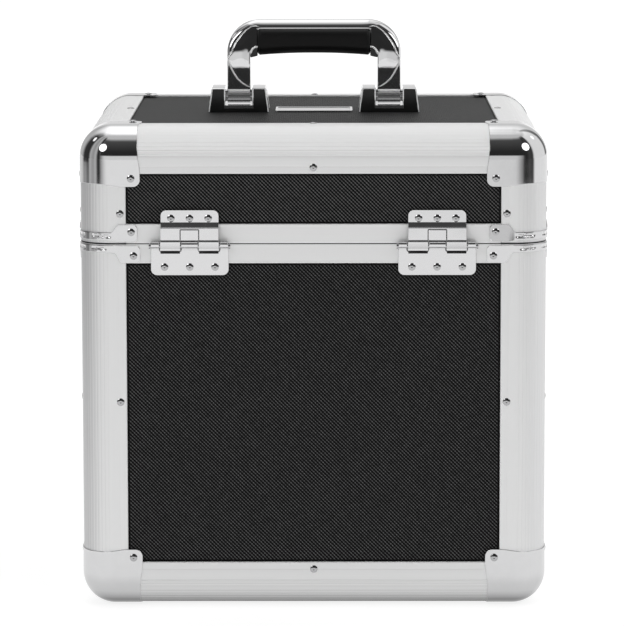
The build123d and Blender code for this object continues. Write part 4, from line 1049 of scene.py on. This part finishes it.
rings = []
line_pts = []
for (ox, oz), (ix, iz), s, z in stations:
    O, I = Vector((ox, oz)), Vector((ix, iz))
    W = (I - O).length
    if s <= 0:
        dr = interp(leaf, z)
        ro = 0.9 + 1.9 * smooth((z - 409) / 12)
        ri = 1.0
        lift = 0.3 * smooth((z - 404) / 12)
    else:
        dr = interp(leaf, 422 + 20 * s) if s < 1 else 5.2
        if s >= 0.6:
            dr = 6.0 - 0.9 * min(1.0, (s - 0.6) / 0.4)
        ro = 2.8 + 3.7 * smooth(min(s, 1.0) / 0.7)
        ri = 1.0 + 0.3 * smooth(s - 0.3)
        lift = (0.3 + 0.25 * smooth(s / 0.4)) * (1 - smooth((s - 0.75) / 0.3))
    dr = min(dr, W)
    ds = [dr * k for k in G_OUT]
    st = min(dr + 1.0, W)
    ds += [dr + (st - dr) * k for k in G_STEP]
    ds += [st + (W - st) * k for k in G_IN]
    front = []
    for d in ds:
        p = O + (I - O) * (d / W)
        front.append((p.x, max(skin_depth(p, d, dr, ro, W - d, ri, lift), 0.02), p.y))
    ring = [(x, -y, zz) for x, y, zz in front] + [(x, y, zz) for x, y, zz in reversed(front)]
    rings.append(ring)
    if z > 393.9 and s < 0.86:
        dl = dr + 0.1
        p = O + (I - O) * (min(dl, W - 0.3) / W)
        y = skin_depth(p, dl, dr, ro, W - dl, 0.0, lift)
        if s <= 0:
            r = (0.9 - 0.34 * smooth((z - 412) / 7)) * (0.4 + 0.6 * smooth((z - 393.6) / 1.6))
        else:
            r = 0.52 - 0.30 * smooth(s / 0.5)
        line_pts.append((Vector((p.x, y + 0.22 * smooth((z - 393.6) / 2), p.y)), r))
full = rings + [[(-x, y, zz) for x, y, zz in r] for r in reversed(rings[:-1])]
g = Geo()
loft(g, full)
for s in (-1, 1):
    # barrel at the foot: a flat bright bar, then ribs along the axle
    sec = []
    for k in range(0, 180):
        a = 2.0 * k
        r = 7.85
        for c in (0.0, 180.0):
            low = (a - c + 180) % 360 - 180
            down = low if c == 0.0 else -low
            if abs(low) < 90:
                if -30.0 < down < -1.0:
                    r = 7.1
                elif -1.0 <= down < 66:
                    r = 7.3 + 0.5 * max(0.0, cos(rad((down + 1) / 67 * 360 * 6 - 180))) ** 0.6
        sec.append((r * cos(rad(a)), -r * sin(rad(a))))
    prism(g, [sec], lambda y, z, x, s=s: (s * HXC + x, -y, PIV + z), -LW / 2 + 0.15, LW / 2 - 0.15)
frame_ob = make("handle_arms", g, angle=50)
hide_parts("handle_frame")
dress(frame_ob, chrome_handle, "handle")


def tube(g, path, n=10):
    """A round bead along points with their own radii."""
    pts = [p for p, r in path]
    rings, normal = [], None
    for i, (p, r) in enumerate(path):
        t = (pts[min(i + 1, len(pts) - 1)] - pts[max(i - 1, 0)]).normalized()
        if normal is None:
            normal = t.orthogonal().normalized()
        else:
            normal = (normal - t * normal.dot(t)).normalized()
        side_v = t.cross(normal)
        rings.append([tuple(p + (normal * cos(2 * pi * k / n) + side_v * sin(2 * pi * k / n)) * r) for k in range(n)])
    loft(g, rings)


# bright line that curves across each arm, and the rolled edge over the inner corner, as real beads finished white for a
# painted highlight
g = Geo()
for sx in (-1, 1):
    for sy in (-1, 1):
        tube(g, [(Vector((-sx * p.x, sy * p.y, p.z)), r) for p, r in line_pts])
        roll = []
        for k in range(0, 25):
            t = rad(-6 + 110 * k / 24)
            x, zz = -GRIP_X - 0.35 - 5.3 * cos(t), 420.6 + 5.7 * sin(t)
            fade = smooth(k / 5) * (0.45 + 0.55 * smooth((24 - k) / 4))
            roll.append((Vector((-sx * x, sy * (half_depth(zz) - 0.75), zz)), 0.15 + 0.8 * fade))
        tube(g, roll, 12)
        bar = rounded([(6.4, 389.7), (8.35, 389.7), (8.35, 391.9), (6.4, 391.9)], [0.2, 0.85, 0.85, 0.2], 6)
        prism(g, [bar], lambda y, z, x, sx=sx, sy=sy: (sx * HXC + x, sy * y, z), -8.8, 8.8)
line_ob = make("handle_trim_lines", g, angle=60)
dress(line_ob, highlight_paint, "handle")

# recessed black plugs where the grip's core enters the arms
g = Geo()
for s in (-1, 1):
    plug = [(s * 51.3, 417.5), (s * 45.4, 418.9), (s * 45.4, 425.2), (s * 51.3, 425.2)]
    prism(g, [rounded(plug, [0.8, 0.6, 0.4, 0.4], 4)], lambda x, z, y: (x, y, z), -7.6, 7.6)
plugs = make("handle_plugs", g, angle=50)
bevel(plugs, 0.4, 3, 50)
dress(plugs, gloss_black, "handle")

# bead along the lower edge of the bar, above the grip
g = Geo()
for s in (-1, 1):
    prism(g, [circle(s * 7.3, 440.75, 0.55, 14)], lambda y, z, x: (x, y, z), -44.5, 44.5)
bead = make("handle_bar_bead", g, angle=60)
dress(bead, chrome_handle, "handle")

# grip: a soft sleeve with a slightly arched underside
g = Geo()
rings = []
for i in range(0, 61):
    f = -1 + 2 * i / 60
    x = 45.25 * f
    end = max(0.0, abs(f) - 0.955) / 0.045
    shrink = 1.6 * (1 - math.sqrt(max(0.0, 1 - end**2)))
    lo = 421.3 - 1.9 * abs(f) ** 2.2 + shrink
    hi = 440.35 - shrink * 0.6
    w = 12.5 + 0.15 * (1 - f * f) - shrink
    pts = rounded([(-w, lo), (w, lo), (w - 1.2, hi), (-w + 1.2, hi)], [7.2, 7.2, 5.6, 5.6], 9)
    lean = 1.2 * f * (1 if abs(f) > 0.9 else 0) * 0.0
    rings.append([(x + lean, y, zz) for y, zz in pts])
loft(g, rings)
grip = make("handle_sleeve", g, angle=60)
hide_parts("handle_grip")
dress(grip, rubber, "handle")

# ---- handle brackets ----
BZ0 = 374.4
for s in (-1, 1):
    cx = s * HXC
    tag = "left" if s < 0 else "right"
    hw, top, nw, sill = 24.2, 394.6, 10.8, 380.0
    outline = [(-hw, BZ0), (hw, BZ0), (hw - 2.6, top), (nw, top), (nw, sill), (-nw, sill), (-nw, top), (-hw + 2.6, top)]
    outline = rounded(outline, [0, 0, 1.6, 1.2, 0.6, 0.6, 1.2, 1.6], 5)
    g = Geo()
    prism(g, [outline], lambda x, z, y, cx=cx: (cx + x, y, z), -20.0, 20.0)
    ob = make(f"bracket_shell_{tag}", g)
    # sloped shoulders along the front and back of the ears
    k = Geo()
    crown = [(19.2, top - 0.95), (18.2, top - 0.75), (16.0, top - 0.5), (12.0, top - 0.25), (7.0, top - 0.07), (0.0, top)]
    side_pts = [(-20.0, BZ0 - 1), (20.0, BZ0 - 1), (20.0, top - 1.75), (19.9, top - 1.4), (19.65, top - 1.15)] + crown
    side_pts += [(-a, b) for a, b in reversed(crown[:-1])] + [(-19.65, top - 1.15), (-19.9, top - 1.4), (-20.0, top - 1.75)]
    prism(k, [side_pts], lambda y, z, x, cx=cx: (cx + x, y, z), -30.0, 30.0)
    boolean(ob, make("tool", k), "INTERSECT")
    for sign in (-1, 1):
        k = Geo()
        rec = [(-hw + 0.9, BZ0 - 1), (hw - 0.9, BZ0 - 1), (hw - 3.3, top - 1.5), (nw + 0.9, top - 1.5), (nw + 0.9, sill - 2.4), (-nw - 0.9, sill - 2.4), (-nw - 0.9, top - 1.5), (-hw + 3.3, top - 1.5)]
        lo, hi = (-21.0, -18.4) if sign < 0 else (18.4, 21.0)
        prism(k, [rec], lambda x, z, y, cx=cx: (cx + x, y, z), lo, hi)
        boolean(ob, make("tool", k))
    k = Geo()
    prism(k, [circle(0.0, PIV, 3.02, 28)], lambda y, z, x, cx=cx: (cx + x, y, z), -30.0, 30.0)
    boolean(ob, make("tool", k))
    bevel(ob, 0.3, 2, 40)
    weighted(ob)
    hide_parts("handle_brackets")
    dress(ob, chrome, "lid")
    for sign in (-1, 1):
        g = Geo()
        face = [(-hw + 1.0, BZ0 + 0.05), (hw - 1.0, BZ0 + 0.05), (hw - 3.4, top - 1.6), (nw + 1.0, top - 1.6), (nw + 1.0, sill - 2.5), (-nw - 1.0, sill - 2.5), (-nw - 1.0, top - 1.6), (-hw + 3.4, top - 1.6)]
        face = rounded(face, [0.3, 0.3, 0.8, 0.8, 0.4, 0.4, 0.8, 0.8], 4)
        lo, hi = (-19.8, -18.35) if sign < 0 else (18.35, 19.8)
        prism(g, [face], lambda x, z, y, cx=cx: (cx + x, y, z), lo, hi)
        ob = make(f"bracket_insert_{tag}_{'back' if sign < 0 else 'front'}", g)
        bevel(ob, 0.45, 3, 50)
        weighted(ob)
        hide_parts("bracket_inserts")
        dress(ob, gloss_black, "lid")

# bright rolled edges on both faces of the brackets, finished white for a painted highlight
for s in (-1, 1):
    cx = s * HXC
    g = Geo()
    for sy in (-1, 1):
        for e in (-1, 1):
            paths = [
                [(24.2 - 0.5, BZ0 + 0.4), (24.2 - 1.5, 383.0), (24.2 - 2.75, 392.2)],
                [(10.8 + 0.45, 380.0), (10.8 + 0.45, 386.0), (10.8 + 0.45, 392.4)],
            ]
            for k, path in enumerate(paths):
                r = 0.56 if k == 0 else 0.44
                tube(g, [(Vector((cx + e * x, sy * 19.62, z)), r) for x, z in path], 10)
    ob = make(f"bracket_edges_{'left' if s < 0 else 'right'}", g, angle=60)
    dress(ob, highlight_paint, "lid")

# ---- bare plate between the brackets: a bright rim round a brushed field ----
g = Geo()
outer = rounded(rect(-31, -19, 31, 19), 2.5, 6)
inner = rounded(rect(-29.0, -17.0, 29.0, 17.0), 1.6, 6)
prism(g, [outer, inner], lambda x, y, z: (x, y, z), 374.4, 375.75)
rim = make("plate_rim", g)
bevel(rim, 0.35, 3, 50)
weighted(rim)
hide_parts("badge_plate")
dress(rim, chrome, "lid")
g = Geo()
prism(g, [rounded(rect(-29.2, -17.2, 29.2, 17.2), 1.6, 6)], lambda x, y, z: (x, y, z), 374.4, 375.05)
field = make("plate_field", g)
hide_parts("badge_plate")
dress(field, badge_mat, "lid")


# ---- foam linings ----
def foam_frame(name, node, z0, z1, body):
    g = Geo()
    o, t = 10.05, 3.0
    x1, y1 = HX - o, HY - o
    for sgn in (-1, 1):
        for axis in (0, 1):
            length = x1 if axis == 0 else y1 - t - 0.05
            n = 26
            rings = []
            for i in range(n + 1):
                f = -1 + 2 * i / n
                along = f * length
                edge = min(1.0, (1 - abs(f)) * length / 3.0)
                puff = 0.55 * smooth(edge) + 0.12 * sin(i * 1.9 + axis)
                outer_d = 0.0
                pts = []
                for k in range(13):
                    h = k / 12
                    zz = z0 + (z1 - z0) * h
                    rim_e = min(1.0, min(h, 1 - h) * (z1 - z0) / 2.2)
                    d = t - 0.9 * (1 - math.sqrt(max(0.0, 1 - (1 - rim_e) ** 2))) - 0.35 + puff * 0.35 * smooth(rim_e)
                    pts.append((d, zz))
                pts += [(0.0, z1 - 0.3), (0.0, z0 + 0.3)]
                ring = []
                for d, zz in pts:
                    if axis == 0:
                        ring.append((along, sgn * (y1 - d), zz))
                    else:
                        ring.append((sgn * (x1 - d), along, zz))
                rings.append(ring)
            loft(g, rings)
    ob = make(name, g, angle=50)
    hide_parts(node)
    dress(ob, lining, body)
    return ob


foam_frame("body_foam_walls", "body_wall_lining", 14.6, 284.0, "case_body")
foam_frame("lid_foam_walls", "lid_wall_lining", 289.0, 359.8, "lid")


def foam_slab(name, node, z0, z1, up_side, body):
    g = Geo()
    hx, hy = HX - 10.1, HY - 10.1
    nx, ny = 40, 38
    verts, faces = [], []

    def top(i, j):
        u, v = -1 + 2 * i / nx, -1 + 2 * j / ny
        e = min((1 - abs(u)) * hx, (1 - abs(v)) * hy)
        soft = 0.9 * (1 - smooth(e / 2.5))
        wave = 0.12 * (sin(i * 0.9) * cos(j * 0.7))
        return 3.0 - soft - 0.12 + wave * smooth(e / 20)

    for side in (0, 1):
        for i in range(nx + 1):
            for j in range(ny + 1):
                x, y = hx * (-1 + 2 * i / nx), hy * (-1 + 2 * j / ny)
                h = top(i, j) if side else 0.0
                zz = z0 + h if up_side else z1 - h
                verts.append((x, y, zz))
    w = ny + 1
    off = (nx + 1) * w
    for i in range(nx):
        for j in range(ny):
            a = i * w + j
            faces.append((a, a + w, a + w + 1, a + 1))
            faces.append((off + a, off + a + 1, off + a + w + 1, off + a + w))
    ring = [i * w for i in range(nx + 1)] + [nx * w + j for j in range(1, ny + 1)] + [i * w + ny for i in range(nx - 1, -1, -1)] + [j for j in range(ny - 1, 0, -1)]
    for a, b in zip(ring, ring[1:] + ring[:1]):
        faces.append((a, b, off + b, off + a))
    g.add(verts, faces)
    ob = make(name, g, angle=50)
    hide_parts(node)
    dress(ob, lining, body)


foam_slab("floor_foam", "base_pad", 11.25, 14.25, True, "case_body")
foam_slab("lid_foam", "lid_top_pad", 360.0, 363.0, False, "lid")

# ---- rivets: domed heads with the small pit left by the setting pin ----
def rivet_places(me):
    """Centre line, outward side and length of every rivet in a mesh, in millimetres."""
    index, parent, where = {}, [], []
    for v in me.vertices:
        key = tuple(round(c, 6) for c in v.co)
        if key not in index:
            index[key] = len(parent)
            parent.append(len(parent))
            where.append(v.co / MM)

    def find(a):
        while parent[a] != a:
            parent[a] = parent[parent[a]]
            a = parent[a]
        return a

    for e in me.edges:
        a, c = (find(index[tuple(round(x, 6) for x in me.vertices[i].co)]) for i in e.vertices)
        if a != c:
            parent[a] = c
    groups = {}
    for i in range(len(parent)):
        groups.setdefault(find(i), []).append(where[i])
    found = []
    for pts in groups.values():
        lo = [min(p[k] for p in pts) for k in range(3)]
        hi = [max(p[k] for p in pts) for k in range(3)]
        size = [hi[k] - lo[k] for k in range(3)]
        axis = max(range(3), key=lambda k: abs(size[k] - size[k - 1]) + abs(size[k] - size[k - 2]))
        mid = Vector([(lo[k] + hi[k]) / 2 for k in range(3)])
        o = [k for k in range(3) if k != axis]
        reach = max(size[o[0]], size[o[1]]) / 2
        wide = [p[axis] for p in pts if math.hypot(p[o[0]] - mid[o[0]], p[o[1]] - mid[o[1]]) > reach - 0.05]
        ring = sum(wide) / len(wide)
        sign = 1 if ring > mid[axis] else -1
        base = min(wide) if sign > 0 else max(wide)
        thin = [math.hypot(p[o[0]] - mid[o[0]], p[o[1]] - mid[o[1]]) for p in pts if (p[axis] - base) * sign < -0.05]
        tail = ((base - lo[axis]) if sign > 0 else (hi[axis] - base))
        head = ((hi[axis] - base) if sign > 0 else (base - lo[axis]))
        found.append((mid, axis, sign, base, reach, head, max(thin) if thin else 0.0, tail))
    return found


for node in ("body_rivets", "lid_rivets"):
    g = Geo()
    for mid, axis, sign, base, reach, head, shank, tail in rivet_places(N[node].data):
        rise = 0.70
        rim = head - rise - 0.2
        ball = (reach**2 + rise**2) / (2 * rise)
        prof = []
        if shank > 0 and tail > 0.3:
            prof += [(shank * 0.55, -tail), (shank - 0.15, -tail + 0.02), (shank, -tail + 0.2), (shank, 0.0)]
        prof += [(reach, 0.0), (reach, rim)]
        for k in range(1, 10):
            r = reach - (reach - 0.85) * k / 9
            prof.append((r, rim + rise - ball + math.sqrt(ball**2 - r**2)))
        h = prof[-1][1]
        prof += [(0.75, h - 0.03), (0.55, h - 0.10), (0.3, h - 0.15), (0.1, h - 0.165)]
        U = Vector([0.0, 0.0, 0.0])
        U[(axis + 1) % 3] = 1.0
        V = Vector([0.0, 0.0, 0.0])
        V[(axis + 2) % 3] = 1.0
        A = Vector([0.0, 0.0, 0.0])
        A[axis] = sign
        O = mid.copy()
        O[axis] = base
        n = 32
        rings = [[tuple(O + U * (r * cos(2 * pi * k / n)) + V * (r * sin(2 * pi * k / n)) + A * z) for k in range(n)] for r, z in prof]
        loft(g, rings)
    ob = make(node.replace("rivets", "rivet_heads"), g, angle=40)
    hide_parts(node)
    dress(ob, rivet_steel, "case_body" if node == "body_rivets" else "lid")

# ---- carried-over parts ----
for node in N:
    if node in ("body_back_panel", "body_front_panel", "lid_back_panel", "lid_front_panel"):
        paint(node, lam_xz)
    elif node in ("body_left_panel", "body_right_panel", "lid_left_panel", "lid_right_panel"):
        paint(node, lam_yz)
    elif node in ("base_panel", "lid_top_panel"):
        paint(node, lam_xy)
    elif "rivets" in node or "screws" in node or "pin" in node or "axles" in node:
        paint(node, rivet_steel)
    elif "lock_barrel" in node:
        paint(node, chrome)
    elif "latch" in node or "backing" in node or "strike" in node:
        paint(node, steel)

# ---- floor: pale, and unlit far off to the sides where the studio flags stand ----
m, nt, b = material("floor_pale")
vec = mapped(nt, (1, 1, 1))
soft = noise(nt, vec, 3.0, 3.0, 0.5)
tc = nt.nodes.new("ShaderNodeTexCoord")
sep = nt.nodes.new("ShaderNodeSeparateXYZ")
link(nt, tc.outputs["Object"], sep.inputs[0])
fx, fy = sep.outputs[0], sep.outputs[1]
far = math_node(nt, "SQRT", math_node(nt, "ADD", math_node(nt, "MULTIPLY", fx, fx), math_node(nt, "MULTIPLY", fy, fy)))
turn = math_node(nt, "MULTIPLY", math_node(nt, "ARCTAN2", math_node(nt, "ABSOLUTE", fx), math_node(nt, "MULTIPLY", fy, -1.0)), 180 / pi)
t01 = math_node(nt, "DIVIDE", turn, 180.0)
left_k = ramp(nt, t01, [(d / 180, k) for d, k in ((18, 1.0), (25, 0.9), (28.4, 0.78), (32, 0.67), (35.3, 0.5), (39, 0.42), (42.4, 0.15), (46, 0.05), (49.6, 0.03), (53, 0.15), (57, 0.5), (61, 0.54), (68, 0.4), (76, 0.48), (81, 0.56), (89.6, 0.17), (99, 0.32), (105, 0.41), (113, 0.36), (121, 0.62), (130, 0.75), (155, 0.8), (161, 1.0))])
right_k = ramp(nt, t01, [(d / 180, k) for d, k in ((4, 1.0), (8, 0.9), (14, 0.72), (21, 0.50), (28, 0.31), (33, 0.09), (38, 0.04), (46, 0.05), (53, 0.08), (60, 0.06), (65, 0.08), (69, 0.6), (73, 1.0))])
left_half = math_node(nt, "LESS_THAN", fx, 0.0)
turn_k = math_node(nt, "ADD", right_k, math_node(nt, "MULTIPLY", math_node(nt, "SUBTRACT", left_k, right_k), left_half))
behind = math_node(nt, "MULTIPLY", left_half, remap(nt, turn, 54.0, 62.0, 0.0, 1.0))
start = math_node(nt, "SUBTRACT", 2.6, math_node(nt, "MULTIPLY", behind, 1.5))
reach_k = remap(nt, math_node(nt, "SUBTRACT", far, start), 0.0, 0.45, 0.0, 1.0)
right_dim = math_node(nt, "MULTIPLY", remap(nt, fx, 0.02, 0.3, 0.0, 0.13), remap(nt, fy, -2.7, -3.1, 0.0, 1.0))
light_k = math_node(nt, "SUBTRACT", 1.0, math_node(nt, "MULTIPLY", math_node(nt, "SUBTRACT", 1.0, turn_k), reach_k))
light_k = math_node(nt, "SUBTRACT", light_k, math_node(nt, "MULTIPLY", right_dim, light_k))
outermost = math_node(nt, "MULTIPLY", remap(nt, turn, 84.0, 90.0, 0.0, 1.0), remap(nt, turn, 122.0, 112.0, 0.0, 1.0))
outermost = math_node(nt, "MULTIPLY", math_node(nt, "MULTIPLY", outermost, left_half), remap(nt, far, 3.52, 3.85, 0.0, 0.85))
light_k = math_node(nt, "SUBTRACT", light_k, math_node(nt, "MULTIPLY", outermost, light_k))
pale = math_node(nt, "MULTIPLY", remap(nt, soft, 0.3, 0.7, 0.31, 0.33), light_k)
comb = nt.nodes.new("ShaderNodeCombineColor")
glow = nt.nodes.new("ShaderNodeCombineColor")
for i in range(3):
    link(nt, pale, comb.inputs[i])
    link(nt, light_k, glow.inputs[i])
link(nt, comb.outputs[0], b.inputs["Base Color"])
b.inputs["Roughness"].default_value = 0.85
b.inputs["Specular IOR Level"].default_value = 0.0
link(nt, glow.outputs[0], b.inputs["Emission Color"])
b.inputs["Emission Strength"].default_value = 0.83
me = bpy.data.meshes.new("floor")
me.from_pydata([(-7, -5.5, 0), (7, -5.5, 0), (7, 14, 0), (-7, 14, 0)], [], [(0, 1, 2, 3)])
floor = bpy.data.objects.new("floor", me)
sc.collection.objects.link(floor)
me.materials.append(m)

# ---- studio light: a white room with dark flags, worked out by direction ----
world = bpy.data.worlds.new("studio")
sc.world = world
world.use_nodes = True
nt = world.node_tree
for n in list(nt.nodes):
    nt.nodes.remove(n)
out = nt.nodes.new("ShaderNodeOutputWorld")
bg = nt.nodes.new("ShaderNodeBackground")
link(nt, bg.outputs[0], out.inputs[0])
tc = nt.nodes.new("ShaderNodeTexCoord")
sep = nt.nodes.new("ShaderNodeSeparateXYZ")
link(nt, tc.outputs["Generated"], sep.inputs[0])
dx, dy, dz = sep.outputs
elev = math_node(nt, "MULTIPLY", math_node(nt, "ARCSINE", dz), 180 / pi)
az = math_node(nt, "MULTIPLY", math_node(nt, "ARCTAN2", dx, math_node(nt, "MULTIPLY", dy, -1.0)), 180 / pi)
aaz = math_node(nt, "ABSOLUTE", az)
# the dark wall in front reaches a little higher on the right
tall = math_node(nt, "MULTIPLY", remap(nt, dx, 0.0, 0.06, 0.0, 1.0), remap(nt, elev, 10.0, 55.0, 1.2, 5.0))
e01 = math_node(nt, "DIVIDE", math_node(nt, "ADD", math_node(nt, "SUBTRACT", elev, tall), 90.0), 180.0)
a01 = math_node(nt, "DIVIDE", aaz, 180.0)


def P(deg):
    return (deg + 90.0) / 180.0


front = ramp(nt, e01, [(0.0, 0.03), (P(20), 0.03), (P(30), 0.045), (P(45), 0.07), (P(56.5), 0.09), (P(60.5), 0.16), (P(65.5), 0.47), (P(69), 0.72), (P(79), 0.76), (P(84), 0.85), (P(88), 1.1), (1.0, 1.15)])
side_l = ramp(nt, a01, [(d / 180, k) for d, k in ((0, 0.92), (25, 0.9), (28.4, 0.78), (32, 0.66), (35.3, 0.45), (39, 0.35), (42.4, 0.1), (46, 0.04), (49.6, 0.03), (53, 0.15), (57, 0.55), (61, 0.6), (68, 0.4), (76, 0.5), (81, 0.6), (86, 0.2), (90, 0.04), (114, 0.05), (121, 0.3), (130, 0.6), (160, 0.7), (172, 1.0), (180, 1.0))])
side_r = ramp(nt, a01, [(d / 180, k) for d, k in ((0, 0.86), (8, 0.8), (21, 0.5), (28, 0.3), (33, 0.08), (38, 0.035), (42, 0.03), (53, 0.07), (60, 0.05), (65, 0.08), (69, 0.7), (73, 1.05), (129, 1.05), (136, 0.2), (146, 0.2), (152, 1.0), (180, 1.0))])
is_left = math_node(nt, "LESS_THAN", dx, 0.0)


def mix(a, b, f):
    """a + (b - a) f for single numbers."""
    d = math_node(nt, "SUBTRACT", b, a)
    return math_node(nt, "ADD", a, math_node(nt, "MULTIPLY", d, f))


side = mix(side_r, side_l, is_left)
in_front = math_node(nt, "MULTIPLY", remap(nt, aaz, 39.0, 44.0, 1.0, 0.0), remap(nt, elev, 6.0, 9.0, 0.0, 1.0))
in_front = math_node(nt, "MAXIMUM", in_front, remap(nt, elev, 64.0, 74.0, 0.0, 1.0))
lum = mix(side, front, in_front)
# the wall behind is paler near the horizon than higher up
aft = math_node(nt, "MULTIPLY", remap(nt, aaz, 138.0, 158.0, 0.0, 0.21), remap(nt, elev, 1.9, 3.9, 0.0, 1.0))
lum = math_node(nt, "SUBTRACT", lum, math_node(nt, "MULTIPLY", lum, aft))


def spot(azimuth, elevation, inner, outer):
    """1 inside a round patch of sky, falling to 0 at its rim."""
    a, e = rad(azimuth), rad(elevation)
    v = (sin(a) * cos(e), -cos(a) * cos(e), sin(e))
    d = math_node(nt, "ADD", math_node(nt, "ADD", math_node(nt, "MULTIPLY", dx, v[0]), math_node(nt, "MULTIPLY", dy, v[1])), math_node(nt, "MULTIPLY", dz, v[2]))
    n = nt.nodes.new("ShaderNodeMapRange")
    n.interpolation_type = "SMOOTHSTEP"
    n.inputs["From Min"].default_value = cos(rad(outer))
    n.inputs["From Max"].default_value = cos(rad(inner))
    link(nt, d, n.inputs["Value"])
    return n.outputs["Result"]


# a long softbox overhead, dimmer towards its two ends
lift = math_node(nt, "MULTIPLY", math_node(nt, "ARCTAN2", dz, math_node(nt, "MULTIPLY", dy, -1.0)), 180 / pi)
box = math_node(nt, "MULTIPLY", remap(nt, lift, 84.0, 100.0, 0.0, 1.0), remap(nt, lift, 122.0, 146.0, 1.0, 0.0))
box = math_node(nt, "MULTIPLY", box, remap(nt, math_node(nt, "ABSOLUTE", dx), 0.12, 0.62, 1.0, 0.0))
box = math_node(nt, "MULTIPLY", box, remap(nt, dx, 0.0, 0.055, 1.0, 0.4))
lum = math_node(nt, "ADD", lum, math_node(nt, "MULTIPLY", box, 1.25))
for a, e in ((-37, 34), (45, 35)):
    lum = mix(lum, 4.2, spot(a, e, 10.0, 13.8))
for a, e in ((-101, 43), (110, 43)):
    lum = mix(lum, 1.8, spot(a, e, 4.0, 6.5))
comb = nt.nodes.new("ShaderNodeCombineColor")
for i in range(3):
    link(nt, lum, comb.inputs[i])
link(nt, comb.outputs[0], bg.inputs["Color"])
bg.inputs["Strength"].default_value = 1.0

sc.view_settings.view_transform = "Standard"
sc.view_settings.look = "None"
sc.view_settings.exposure = 0.0
